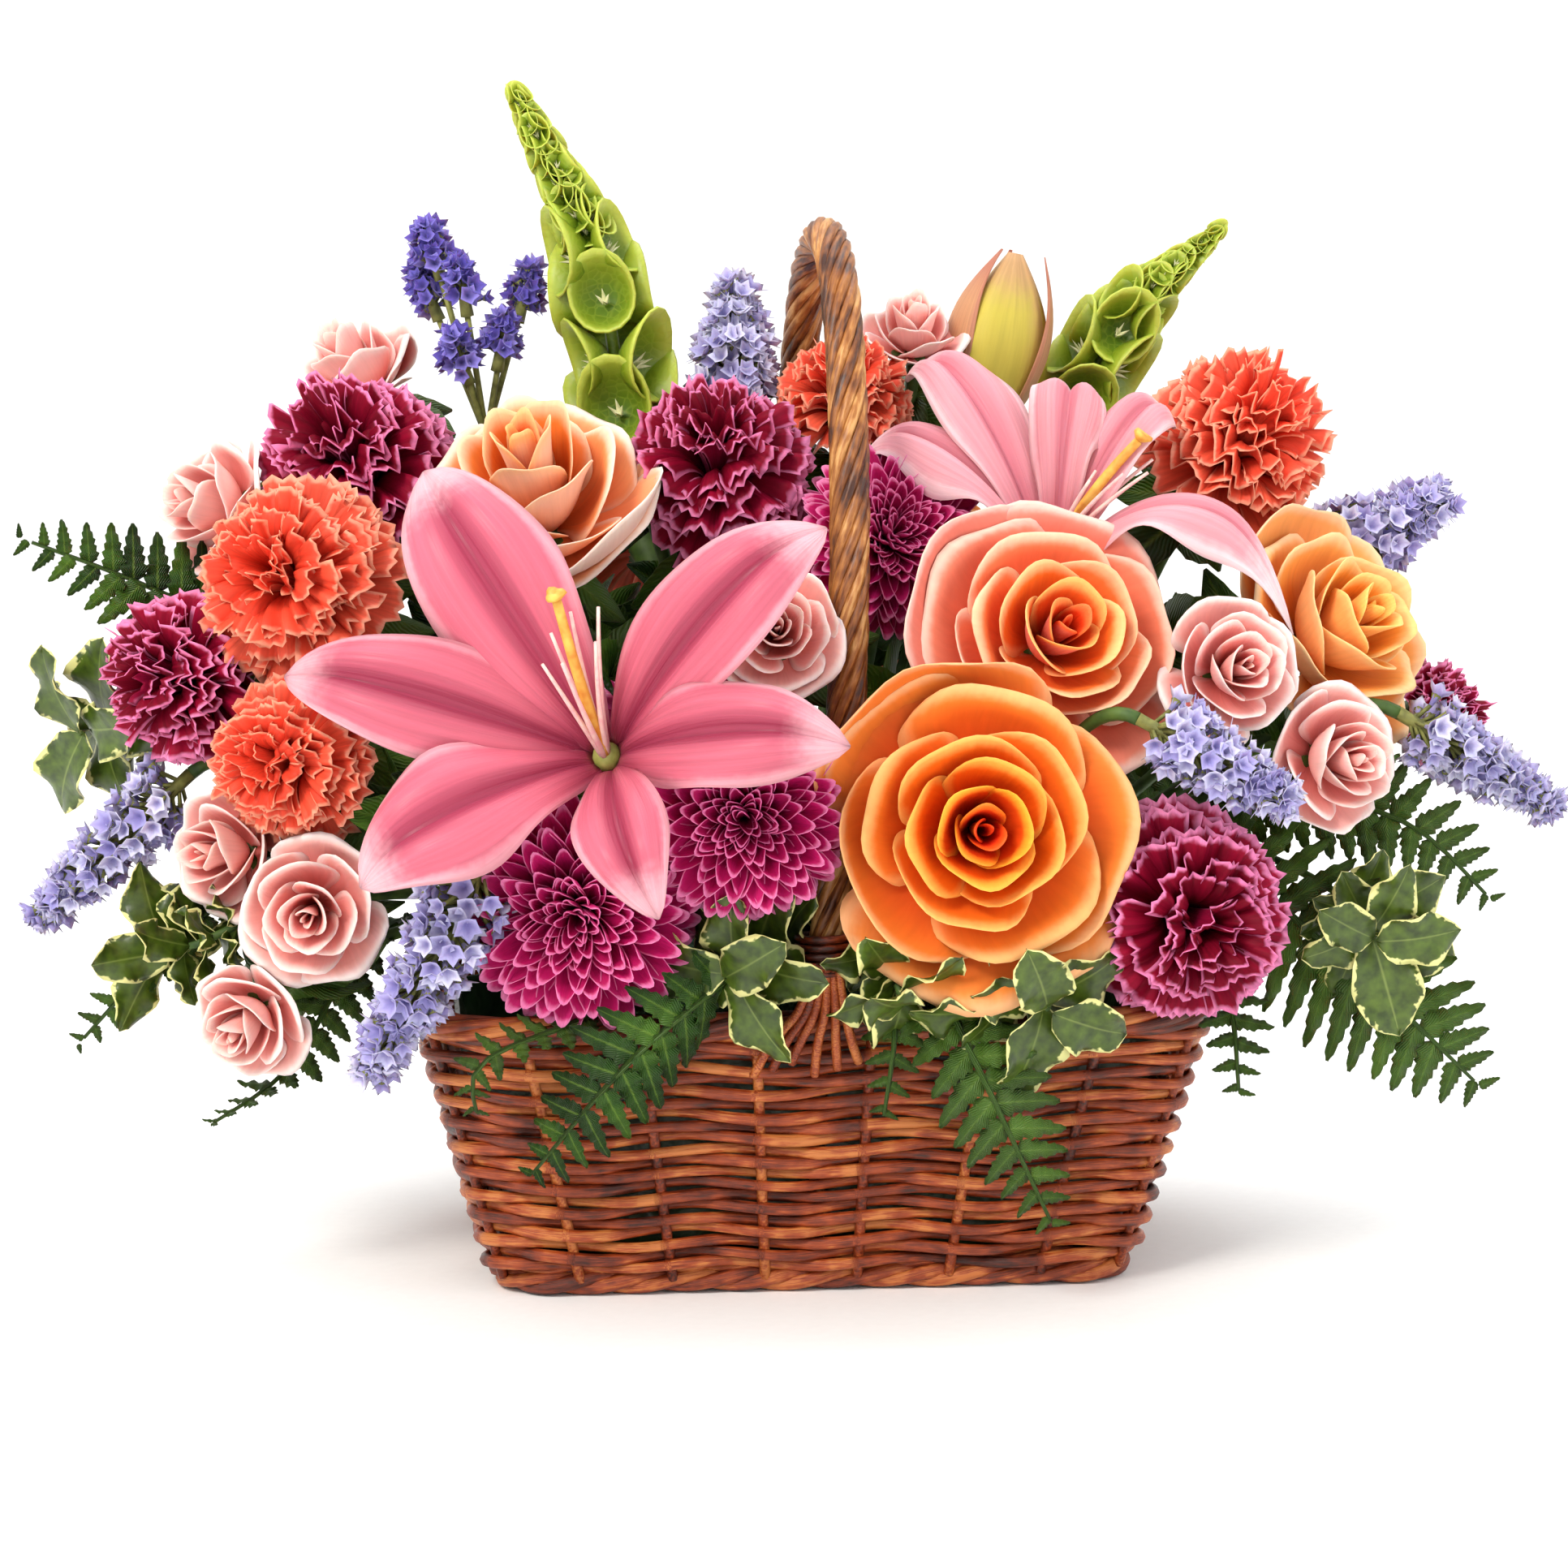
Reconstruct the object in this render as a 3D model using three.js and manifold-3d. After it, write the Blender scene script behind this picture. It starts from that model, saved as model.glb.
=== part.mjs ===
// A flower basket arrangement: a low willow basket with a twisted hoop handle, lined and filled with wet
// flower foam, in which roses, lilies, spray roses, carnations, chrysanthemums, statice, bells of Ireland,
// leatherleaf fern and variegated pittosporum stand. Millimetres, +Z up, origin under the basket's middle.
import * as THREE from "three";
import Module from "manifold-3d";

const wasm = await Module();
wasm.setup();
const { Manifold, Mesh } = wasm;

// ---- driving dimensions, in millimetres ----
const BASE_HALF = [104, 66]; // the wall's outside at the base, half length and half width
const RIM_HALF = [124, 83]; // the same at the top of the wall
const CORNER = [20, 27]; // corner radius at the base and at the rim
const WALL_FOOT = 8.4;
const WALL_TOP = 84;
const WALL = 4; // thickness of the woven wall
const STAKES = 18; // uprights that the weavers pass in front of and behind
const WEAVER_ROWS = 6;
const WEAVE_RELIEF = 1.7;
const RIM_RADIUS = 5;
const FOOT_HALF = [98.5, 60.5]; // centre line of the foot border
const BASE_PLATE = 4;
const GAP = 0.35; // left between pieces that touch
const HANDLE_RADIUS = 6.2;
const BOW_RADIUS = 2.6; // the rod inside the handle, pushed down beside the wall
const LINER_WALL = 1.5;
const LINER_BASE = [93, 53];
const LINER_RIM = [112, 66];
const LINER_TOP = 80;
const FOAM_HALF = [87, 46];
const FOAM_TOP = 104;
const ARRANGEMENT_TURN = THREE.MathUtils.degToRad(-5); // the flowers face a little left of the basket's front
const BLADE = 1.1; // thickness of a petal or leaf along its middle
const GOLDEN_ANGLE = Math.PI * (3 - Math.sqrt(5));

const V = (x, y, z) => new THREE.Vector3(x, y, z);
const mix = THREE.MathUtils.lerp;

// A repeatable stream of numbers between -1 and 1 for a seed.
function variation(seed) {
  let state = Math.floor(seed * 7919) + 17;
  return () => {
    state = (state * 16807) % 2147483647;
    return (2 * state) / 2147483647 - 1;
  };
}

// ---- solids ----

// A closed solid from corner points and faces. Corners that coincide are merged, faces that collapse are
// dropped, and a solid that comes out inside out is turned.
function solidOf(points, faces) {
  const index = new Map();
  const corners = [];
  const merged = points.map((p) => {
    const key = [p.x, p.y, p.z].map((c) => Math.round(c * 1e4)).join();
    if (!index.has(key)) {
      index.set(key, corners.length / 3);
      corners.push(p.x, p.y, p.z);
    }
    return index.get(key);
  });
  const kept = faces
    .map((face) => face.map((i) => merged[i]))
    .filter(([a, b, c]) => a !== b && b !== c && a !== c);
  const build = (list) =>
    new Manifold(
      new Mesh({ numProp: 3, vertProperties: new Float32Array(corners), triVerts: new Uint32Array(list.flat()) }),
    );
  const made = build(kept);
  return made.volume() < 0 ? build(kept.map(([a, b, c]) => [a, c, b])) : made;
}

// The solid of a three.js geometry.
function solidOfGeometry(geometry) {
  const flat = geometry.index ? geometry.toNonIndexed() : geometry;
  const position = flat.getAttribute("position");
  const points = [];
  for (let i = 0; i < position.count; i++) points.push(new THREE.Vector3().fromBufferAttribute(position, i));
  const faces = [];
  for (let i = 0; i < position.count; i += 3) faces.push([i, i + 1, i + 2]);
  return solidOf(points, faces);
}

function geometryOf(solid) {
  const mesh = solid.getMesh();
  const geometry = new THREE.BufferGeometry();
  geometry.setAttribute("position", new THREE.BufferAttribute(new Float32Array(mesh.vertProperties), 3));
  geometry.setIndex(new THREE.BufferAttribute(new Uint32Array(mesh.triVerts), 1));
  return geometry;
}

const fuse = (solids) => Manifold.union(solids);

// The largest body of a solid: what a cut leaves loose beside it is dropped.
function largest(solid) {
  const bodies = solid.decompose();
  return bodies.reduce((best, body) => (body.volume() > best.volume() ? body : best), bodies[0]);
}

// A solid through rings of equal count: closed on itself, or capped at both ends.
function loft(rings, closed = false) {
  const count = rings[0].length;
  const faces = [];
  const spans = closed ? rings.length : rings.length - 1;
  for (let i = 0; i < spans; i++) {
    const next = (i + 1) % rings.length;
    for (let j = 0; j < count; j++) {
      const k = (j + 1) % count;
      const [a, b, c, d] = [i * count + j, i * count + k, next * count + k, next * count + j];
      faces.push([a, b, c], [a, c, d]);
    }
  }
  if (!closed) {
    const last = (rings.length - 1) * count;
    for (let j = 1; j < count - 1; j++) faces.push([0, j + 1, j], [last, last + j, last + j + 1]);
  }
  return solidOf(rings.flat(), faces);
}

// Directions across a curve at evenly spaced places, carried along without twisting.
function framesAlong(curve, steps) {
  const frames = [];
  let side = null;
  for (let i = 0; i <= steps; i++) {
    const tangent = curve.getTangentAt(i / steps).normalize();
    if (!side) side = Math.abs(tangent.z) < 0.9 ? V(0, 0, 1) : V(1, 0, 0);
    side = side.clone().addScaledVector(tangent, -side.dot(tangent)).normalize();
    frames.push({ at: curve.getPointAt(i / steps), side, over: tangent.clone().cross(side), tangent });
  }
  return frames;
}

// A rod along a curve. radius gives the section from the share along the rod and the corner's number, and the
// section turns by twist radians over the rod's length.
function rod(curve, steps, sides, radius, twist = 0) {
  const rings = framesAlong(curve, steps).map(({ at, side, over }, i) =>
    Array.from({ length: sides }, (_, j) => {
      const angle = (2 * Math.PI * j) / sides + (twist * i) / steps;
      const r = radius(i / steps, j);
      return at
        .clone()
        .addScaledVector(side, r * Math.cos(angle))
        .addScaledVector(over, r * Math.sin(angle));
    }),
  );
  return loft(rings);
}

// A solid turned about Z from a profile of [radius, height] that starts and ends on the axis.
function turned(profile, sides) {
  const outline = profile.map(([r, z]) => new THREE.Vector2(r, z));
  return solidOfGeometry(new THREE.LatheGeometry(outline, sides).rotateX(Math.PI / 2));
}

// A blade: both faces of a curved grid, meeting in a sharp edge all round. place(u, v) gives its middle
// surface, with u from -1 to 1 across and v from 0 at the root to 1 at the tip.
function blade(place, across, along, thick = BLADE) {
  const cells = [];
  for (let j = 0; j <= along; j++)
    for (let i = 0; i <= across; i++) cells.push(place((2 * i) / across - 1, j / along));
  const at = (i, j) => cells[j * (across + 1) + i];
  const points = [];
  for (const face of [1, -1])
    for (let j = 0; j <= along; j++)
      for (let i = 0; i <= across; i++) {
        const edge = i === 0 || j === 0 || i === across || j === along;
        const p = at(i, j).clone();
        if (!edge) {
          const acrossWay = at(i + 1, j).clone().sub(at(i - 1, j));
          const alongWay = at(i, j + 1).clone().sub(at(i, j - 1));
          p.addScaledVector(acrossWay.cross(alongWay).normalize(), (face * thick) / 2);
        }
        points.push(p);
      }
  const faces = [];
  const half = (across + 1) * (along + 1);
  for (let j = 0; j < along; j++)
    for (let i = 0; i < across; i++) {
      const a = j * (across + 1) + i;
      const [b, c, d] = [a + 1, a + across + 2, a + across + 1];
      faces.push([a, b, c], [a, c, d], [half + a, half + c, half + b], [half + a, half + d, half + c]);
    }
  return solidOf(points, faces);
}

// One closed skin through rings of any number of points round +Z, the first and last of which may be single
// points on the axis. Out to a rim and back into a groove, ring after ring, it makes a layered bloom.
function skin(rings) {
  const round = (p) => (Math.atan2(p.y, p.x) + 2 * Math.PI) % (2 * Math.PI);
  const sorted = rings.map((ring) => [...ring].sort((p, q) => round(p) - round(q)));
  const faces = [];
  let first = 0;
  for (let k = 0; k + 1 < sorted.length; k++) {
    const [low, high] = [sorted[k], sorted[k + 1]];
    const second = first + low.length;
    const edges = [low, high].map((ring) => (ring.length > 1 ? ring.length : 0));
    const next = (ring, i) => round(ring[(i + 1) % ring.length]) + (i + 1 >= ring.length ? 2 * Math.PI : 0);
    let [i, j] = [0, 0];
    while (i < edges[0] || j < edges[1]) {
      const a = first + (i % low.length);
      const b = second + (j % high.length);
      if (j >= edges[1] || (i < edges[0] && next(low, i) <= next(high, j))) {
        faces.push([a, first + ((i + 1) % low.length), b]);
        i++;
      } else {
        faces.push([a, second + ((j + 1) % high.length), b]);
        j++;
      }
    }
    first = second;
  }
  return solidOf(sorted.flat(), faces);
}

const ringAt = (count, radius, z, turn = 0) =>
  Array.from({ length: count }, (_, i) => {
    const angle = turn + (2 * Math.PI * i) / count;
    return V(radius * Math.cos(angle), radius * Math.sin(angle), z);
  });

// The rim of a ring of petals. outline lists the corners of one petal as its share of the petal's turn, its
// share of the reach, and its rise in radians over the ring's own.
function petalRim(petals, outline, reach, rise, turn, vary, z = 0) {
  return Array.from({ length: petals }, (_, k) =>
    outline.map(([share, out, lift]) => {
      const angle = turn + (2 * Math.PI * (k + share)) / petals;
      const far = reach * out * (1 + 0.05 * vary());
      const up = rise + lift * (1 + 0.3 * vary());
      return V(far * Math.cos(up) * Math.cos(angle), far * Math.cos(up) * Math.sin(angle), z + far * Math.sin(up));
    }),
  ).flat();
}

// A thin-walled cup or bell with its mouth up: two cones that share their rim.
function cup(sides, mouth, depth, wall) {
  const rim = Array.from({ length: sides }, (_, j) => {
    const angle = (2 * Math.PI * j) / sides;
    return V(mouth * Math.cos(angle), mouth * Math.sin(angle), depth);
  });
  const faces = rim.flatMap((_, j) => {
    const k = (j + 1) % sides;
    return [
      [sides, k, j],
      [sides + 1, j, k],
    ];
  });
  return solidOf([...rim, V(0, 0, 0), V(0, 0, wall)], faces);
}

// The matrix that carries a piece made round +Z, rooted at the origin, to its place and facing.
function facing(at, direction, roll = 0) {
  const toward = V(...direction).normalize();
  const turn = new THREE.Quaternion().setFromUnitVectors(V(0, 0, 1), toward);
  turn.multiply(new THREE.Quaternion().setFromAxisAngle(V(0, 0, 1), roll));
  return new THREE.Matrix4().compose(V(...at), turn, V(1, 1, 1));
}

const moved = (solid, matrix) => solid.transform(matrix.toArray());

// ---- the basket ----

// A point and its outward direction on a rounded rectangle, at a share of the way round it.
function outline(share, halfX, halfY, corner) {
  const [longSide, shortSide, arc] = [2 * (halfX - corner), 2 * (halfY - corner), (corner * Math.PI) / 2];
  let left = (((share % 1) + 1) % 1) * (2 * (longSide + shortSide) + 4 * arc);
  for (let quarter = 0; quarter < 4; quarter++) {
    const straight = quarter % 2 ? longSide : shortSide;
    const reach = quarter % 2 ? halfY : halfX;
    const side = quarter % 2 ? halfX - corner : halfY - corner;
    const turn = (quarter * Math.PI) / 2;
    const spin = (x, y) => [x * Math.cos(turn) - y * Math.sin(turn), x * Math.sin(turn) + y * Math.cos(turn)];
    if (left <= straight) return { at: spin(reach, -side + left), out: spin(1, 0) };
    left -= straight;
    if (left <= arc) {
      const bend = left / corner;
      const centre = [reach - corner, side];
      const at = spin(centre[0] + corner * Math.cos(bend), centre[1] + corner * Math.sin(bend));
      return { at, out: spin(Math.cos(bend), Math.sin(bend)) };
    }
    left -= arc;
  }
  return { at: [halfX, -(halfY - corner)], out: [1, 0] };
}

// Half length, half width and corner radius of the wall's outside at a height.
function wallSize(z) {
  const t = (z - WALL_FOOT) / (WALL_TOP - WALL_FOOT);
  return [mix(BASE_HALF[0], RIM_HALF[0], t), mix(BASE_HALF[1], RIM_HALF[1], t), mix(CORNER[0], CORNER[1], t)];
}

// The woven wall: each row of weavers bulges out in front of one stake and in behind the next.
function wovenWall() {
  const columns = 2 * STAKES;
  const levels = 2 * WEAVER_ROWS;
  const rings = [];
  for (let c = 0; c < columns; c++) {
    const ring = [];
    for (let k = 0; k <= levels; k++) {
      const z = mix(WALL_FOOT, WALL_TOP, k / levels);
      const { at, out } = outline(c / columns, ...wallSize(z));
      const crest = k % 2 === 1;
      const row = (k - 1) / 2;
      const weave = c % 2 ? 0 : (c / 2 + row) % 2 ? -1 : 1;
      const relief = crest ? WEAVE_RELIEF * weave : -WEAVE_RELIEF;
      ring.push(V(at[0] + out[0] * relief, at[1] + out[1] * relief, z));
    }
    for (const z of [WALL_TOP, WALL_FOOT]) {
      const { at, out } = outline(c / columns, ...wallSize(z));
      ring.push(V(at[0] - out[0] * (WALL + WEAVE_RELIEF), at[1] - out[1] * (WALL + WEAVE_RELIEF), z));
    }
    rings.push(ring);
  }
  return loft(rings, true);
}

// A plaited border: a ring whose section swells and turns, so that its strands read as a rope.
function plaitedRing(halfX, halfY, corner, z, radius, steps, sides, flatFoot) {
  const rings = [];
  for (let i = 0; i < steps; i++) {
    const { at, out } = outline(i / steps, halfX, halfY, corner);
    const swell = i % 2 ? 0.86 : 1.06;
    rings.push(
      Array.from({ length: sides }, (_, j) => {
        const angle = (2 * Math.PI * (j + 0.5)) / sides + (i % 2 ? Math.PI / sides / 2 : -Math.PI / sides / 2);
        const reach = radius * swell * Math.cos(angle);
        const height = z + radius * swell * Math.sin(angle);
        return V(at[0] + out[0] * reach, at[1] + out[1] * reach, flatFoot ? Math.max(height, 0) : height);
      }),
    );
  }
  return loft(rings, true);
}

// The base: a woven mat of cross sticks, with the foot border that it is bound to.
function wovenBase() {
  const shape = new THREE.Shape();
  const steps = 20;
  const border = Array.from({ length: steps }, (_, i) => outline(i / steps, FOOT_HALF[0], FOOT_HALF[1], 17).at);
  shape.setFromPoints(border.map(([x, y]) => new THREE.Vector2(x, y)));
  const mat = solidOfGeometry(new THREE.ExtrudeGeometry(shape, { depth: BASE_PLATE, bevelEnabled: false }));
  const sticks = [-1, 1].map((i) =>
    solidOfGeometry(new THREE.BoxGeometry(6, 2 * FOOT_HALF[1], 2).translate(i * 40, 0, BASE_PLATE + 0.5)),
  );
  const foot = plaitedRing(FOOT_HALF[0], FOOT_HALF[1], 17, 3.6, 4.1, 26, 5, true);
  return fuse([mat, ...sticks, foot]);
}

// The hoop handle's centre line, from the front rim over the top to the back rim.
const HANDLE_LINE = new THREE.CatmullRomCurve3(
  [
    [0, -84, 97],
    [1, -84, 112],
    [6, -78, 160],
    [9, -69, 225],
    [10, -54, 277],
    [9.5, -30, 315],
    [8, 0, 328],
    [6, 30, 315],
    [4, 54, 277],
    [2, 69, 225],
    [1, 78, 160],
    [0, 84, 112],
    [0, 84, 97],
  ].map((p) => V(...p)),
);

function hoopHandle() {
  const hoop = rod(HANDLE_LINE, 26, 6, (t, corner) => HANDLE_RADIUS * (corner % 2 ? 1.04 : 0.84), 3.6 * Math.PI);
  const bows = [-1, 1].map((side) => {
    const points = [[58.2, 14], [65.2, 50], [71.5, 82], [73.4, 92], [80, 103]];
    const line = new THREE.CatmullRomCurve3(points.map(([y, z]) => V(0, side * y, z)));
    return rod(line, 4, 5, () => BOW_RADIUS);
  });
  return fuse([hoop, ...bows]);
}

// The lashing at one foot of the handle: turns of split willow round it, and ends splayed over the rim.
function lashing(side) {
  const [inner, outer, low, high] = [HANDLE_RADIUS + 1.9, HANDLE_RADIUS + 3.7, 106, 119];
  const turns = 2;
  const profile = [];
  for (let k = 0; k <= 2 * turns; k++) {
    const z = mix(low, high, k / (2 * turns));
    profile.push([k % 2 ? outer : outer - 1, z]);
  }
  const sides = 8;
  const rings = Array.from({ length: sides }, (_, j) => {
    const angle = (2 * Math.PI * j) / sides;
    const section = [...profile, [inner, high], [inner, low]];
    return section.map(([r, z]) => V(r * Math.cos(angle), r * Math.sin(angle), z));
  });
  const band = loft(rings, true).translate([0.4, side * 84, 0]);
  const ends = [-17, -6, 6].map((x, i) => {
    const line = new THREE.CatmullRomCurve3([
      V(1 + x * 0.3, side * 91.8, 111),
      V(1 + x * 0.55, side * 92.8, 97),
      V(x, side * 90.4, 86),
      V(x * 1.35, side * 86.8, 74 + 2 * (i % 2)),
    ]);
    return rod(line, 3, 3, () => 1.9);
  });
  return fuse([band, ...ends]);
}

// A solid between two rounded rectangles at two heights.
function taperedBlock(low, high, bottom, top, corner, steps = 20) {
  return loft(
    [
      [low, bottom],
      [high, top],
    ].map(([half, z]) =>
      Array.from({ length: steps }, (_, i) => {
        const { at } = outline(i / steps, half[0], half[1], corner);
        return V(at[0], at[1], z);
      }),
    ),
  );
}

function linerTray() {
  const inset = (half) => half.map((h) => h - LINER_WALL);
  const bottom = BASE_PLATE + 2.6;
  const outside = taperedBlock(LINER_BASE, LINER_RIM, bottom, LINER_TOP, 16);
  return outside.subtract(taperedBlock(inset(LINER_BASE), inset(LINER_RIM), bottom + LINER_WALL, LINER_TOP + 0.1, 14.5));
}

// ---- flowers, each made round +Z with its root at the origin ----

// A rose: rings of petals that overlap round the bloom, wide open outside and upright in the middle. rings
// lists the number of petals, the rim's radius and height and the groove's radius and height inside it.
const ROSE_PETAL = [
  [0.03, 0.88, -0.07],
  [0.26, 1, 0.05],
  [0.66, 1.05, 0.06],
  [0.93, 0.99, -0.02],
];
const ROSE_RINGS = [
  [5, 1, 0.4, 0.5, 0.3],
  [5, 0.84, 0.72, 0.44, 0.5],
  [4, 0.62, 0.92, 0.32, 0.66],
  [3, 0.4, 1, 0.18, 0.76],
  [2, 0.17, 1, 0, 0.84],
];
const SPRAY_ROSE_PETAL = [
  [0.03, 0.88, -0.06],
  [0.4, 1.04, 0.06],
  [0.88, 1, 0],
];
const SPRAY_ROSE_RINGS = [
  [5, 1, 0.45, 0.48, 0.38],
  [4, 0.7, 0.86, 0.3, 0.6],
  [3, 0.34, 1, 0, 0.74],
];
function rose({ radius, depth, rings, petal, seed }) {
  const vary = variation(seed);
  const skins = [[V(0, 0, -5)], ringAt(5, 4, -3), ringAt(5, radius * 0.36, depth * 0.16)];
  rings.forEach(([petals, rimR, rimZ, grooveR, grooveZ], k) => {
    const turn = k * GOLDEN_ANGLE + seed;
    const reach = radius * rimR;
    const flat = petalRim(petals, petal, reach, 0, turn, vary);
    skins.push(flat.map((p) => V(p.x, p.y, depth * rimZ + p.z * 0.8)));
    skins.push(grooveR ? ringAt(6, radius * grooveR, depth * grooveZ, turn) : [V(0, 0, depth * grooveZ)]);
  });
  return skin(skins);
}

// A lily: three narrow sepals behind three wide petals, rising from the throat and curling back.
function lily(petals) {
  const throat = turned(
    [
      [0, -7],
      [3, -6],
      [6.5, 3],
      [5, 8],
      [0, 8],
    ],
    6,
  );
  const blades = petals.map(({ angle, reach, width, inner, depth = 46, curl = 14 }) => {
    const round = THREE.MathUtils.degToRad(angle);
    const [out, side] = [V(Math.cos(round), Math.sin(round), 0), V(-Math.sin(round), Math.cos(round), 0)];
    const lift = inner ? 2.4 : 0;
    return blade(
      (u, v) => {
        const r = mix(4, reach, v ** 1.15);
        const half = Math.min((width / 2) * Math.sin(Math.PI * (0.1 + 0.9 * v) ** 0.85) ** 0.85, 0.52 * r + 1);
        const z = depth * (1 - (1 - v) ** 1.7) - curl * v ** 4 + lift * (1 - v);
        const cupped = 0.3 * half * u * u * (1 - v);
        return out
          .clone()
          .multiplyScalar(r - cupped * 0.5)
          .addScaledVector(side, u * half)
          .add(V(0, 0, z + cupped));
      },
      2,
      4,
      BLADE + 0.4,
    );
  });
  return fuse([throat, ...blades]);
}

// A lily's pistil and its six filaments, each thicker toward the end, where its anther sits.
function stamens(length, sweep) {
  const foot = turned(
    [
      [0, 8.5],
      [2.8, 8.5],
      [2.8, 14],
      [0, 16],
    ],
    5,
  );
  const filaments = Array.from({ length: 7 }, (_, i) => {
    const angle = (Math.PI * i) / 3 + 0.4;
    const lean = i === 6 ? V(0, 0, 0) : V(Math.cos(angle), Math.sin(angle), 0).multiplyScalar(11);
    const tip = lean.clone().add(V(...sweep, length).multiplyScalar(i === 6 ? 1 : 0.86));
    const start = lean.clone().multiplyScalar(0.1).setZ(10);
    return rod(new THREE.LineCurve3(start, tip), 2, 3, (t) => (t === 1 ? 2 : 0.9));
  });
  return fuse([foot, ...filaments]);
}

// An opening bud: a long spindle with three ribs, whose outer segments part at the tip.
function bud(length, radius) {
  const rings = [-0.02, 0.14, 0.42, 0.78, 1].map((t) =>
    Array.from({ length: 6 }, (_, j) => {
      const angle = (2 * Math.PI * j) / 6;
      const swell = radius * (0.12 + 0.88 * Math.sin(Math.PI * Math.min(1, 0.08 + 0.9 * t) ** 1.1));
      const r = swell * (1 + 0.12 * Math.cos(3 * angle));
      return V(r * Math.cos(angle), r * Math.sin(angle), length * t);
    }),
  );
  const segments = [0, 2.1, 4.2].map((turn) =>
    blade(
      (u, v) => {
        const angle = turn + u * 0.62 * Math.sin(Math.PI * (0.15 + 0.85 * v));
        const r = radius * (0.35 + 0.72 * Math.sin(Math.PI * (0.1 + 0.72 * v)));
        return V(r * Math.cos(angle), r * Math.sin(angle), length * (0.02 + 0.98 * v));
      },
      2,
      2,
      1.8,
    ),
  );
  return fuse([loft(rings), ...segments]);
}

// A bloom of pointed rings, from its foot to the ring in its middle: number of petals, reach, rise and the
// outline of a petal. The grooves between the rings lie on a small dome.
function layeredBloom(radius, rings, outline, grooves, seed) {
  const vary = variation(seed);
  const dome = (share) => ringAt(grooves, radius * mix(0.42, 0.16, share), radius * mix(-0.12, 0.42, share), seed);
  const skins = [[V(0, 0, -radius * 0.42)], dome(0)];
  rings.forEach(([petals, reach, rise], k) => {
    skins.push(petalRim(petals, outline, radius * reach, rise, k * GOLDEN_ANGLE + seed, vary, 0.05 * radius * k));
    skins.push(k + 1 < rings.length ? dome((k + 1) / rings.length) : [V(0, 0, radius * 0.52)]);
  });
  return skin(skins).translate([0, 0, radius * 0.42]);
}

// A carnation: notched, ruffled petals.
const CARNATION_RINGS = [
  [10, 1, -0.1],
  [9, 0.97, 0.3],
  [8, 0.9, 0.68],
  [6, 0.84, 1.06],
];
const CARNATION_PETAL = [
  [0, 0.84, -0.1],
  [0.5, 1, 0.1],
];
const carnation = (radius, seed) => layeredBloom(radius, CARNATION_RINGS, CARNATION_PETAL, 6, seed);

// A chrysanthemum: narrow petals, each ring steeper than the one outside it.
const CHRYSANTHEMUM_RINGS = [
  [15, 1, -0.22],
  [14, 0.99, 0.08],
  [12, 0.95, 0.4],
  [9, 0.9, 0.74],
  [5, 0.84, 1.1],
];
const CHRYSANTHEMUM_PETAL = [
  [0, 0.66, -0.03],
  [0.5, 1, 0.03],
];
const chrysanthemum = (radius, seed) =>
  layeredBloom(radius, CHRYSANTHEMUM_RINGS, CHRYSANTHEMUM_PETAL, 7, seed);

// A spike of statice: ring over ring of papery florets, each with an open, notched mouth.
const FLORET = [
  [0.04, 0.6, -0.1],
  [0.3, 0.98, 0.18],
  [0.5, 0.84, 0.02],
  [0.72, 1.04, 0.14],
];
function floretSpike(length, radius, levels, seed, florets = 4) {
  const vary = variation(seed);
  const skins = [[V(0, 0, -4)], ringAt(4, 2.2, -2), ringAt(4, 2.4, length * 0.1)];
  for (let k = 0; k < levels; k++) {
    const t = k / (levels - 1);
    const reach = radius * mix(1.05, 0.66, t) * (1 + 0.1 * vary());
    const z = length * mix(0.12, 0.8, t);
    const top = k + 1 === levels;
    skins.push(petalRim(top ? 3 : florets, FLORET, reach, mix(0.3, 0.75, t), k * GOLDEN_ANGLE + seed, vary, z));
    skins.push(top ? [V(0, 0, length * 0.9)] : ringAt(4, 2.6, z + length * (0.5 / levels), seed));
  }
  return skin(skins);
}

// The matrix of a spike that stands between two points.
const between = (from, to) => facing(from, V(...to).sub(V(...from)).toArray());
const distance = (from, to) => V(...from).distanceTo(V(...to));

// A branched spray of blue statice: small heads on thin twigs that part at its foot.
function blueStatice(foot, tips) {
  return fuse(
    tips.flatMap((tip, i) => {
      const neck = V(...foot).lerp(V(...tip), 0.55).toArray();
      const head = floretSpike(distance(neck, tip), 11, 2, i + 0.5, 3);
      return [moved(head, between(neck, tip)), rod(new THREE.LineCurve3(V(...foot), V(...neck)), 1, 3, () => 1.7)];
    }),
  );
}

// A spike of bells: thin green cups in threes up a stem, each three turned from the last, ending in small buds.
function bellSpike(from, to, lean, levels, radius) {
  const [start, end] = [V(...from), V(...to)];
  const middle = start.clone().lerp(end, 0.5).add(V(...lean));
  const line = new THREE.CatmullRomCurve3([start, middle, end]);
  const parts = [rod(line, 4, 5, (t) => mix(3, 1.6, t))];
  for (let k = 0; k < levels; k++) {
    const t = 1 - 0.97 * (1 - k / levels) ** 1.35;
    const size = radius * mix(1.06, 0.34, t);
    const at = line.getPointAt(t);
    const tangent = line.getTangentAt(t);
    const side = V(0, 1, 0).cross(tangent).normalize();
    const over = tangent.clone().cross(side);
    for (let i = 0; i < 3; i++) {
      const angle = k * 1.05 + (2 * Math.PI * i) / 3;
      const toward = side.clone().multiplyScalar(Math.cos(angle)).addScaledVector(over, Math.sin(angle));
      toward.addScaledVector(tangent, mix(0.45, 0.9, t));
      parts.push(moved(cup(5, size * 0.5, size * 0.86, size * 0.35), facing(at.toArray(), toward.toArray(), i)));
    }
  }
  return fuse(parts);
}

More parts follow.
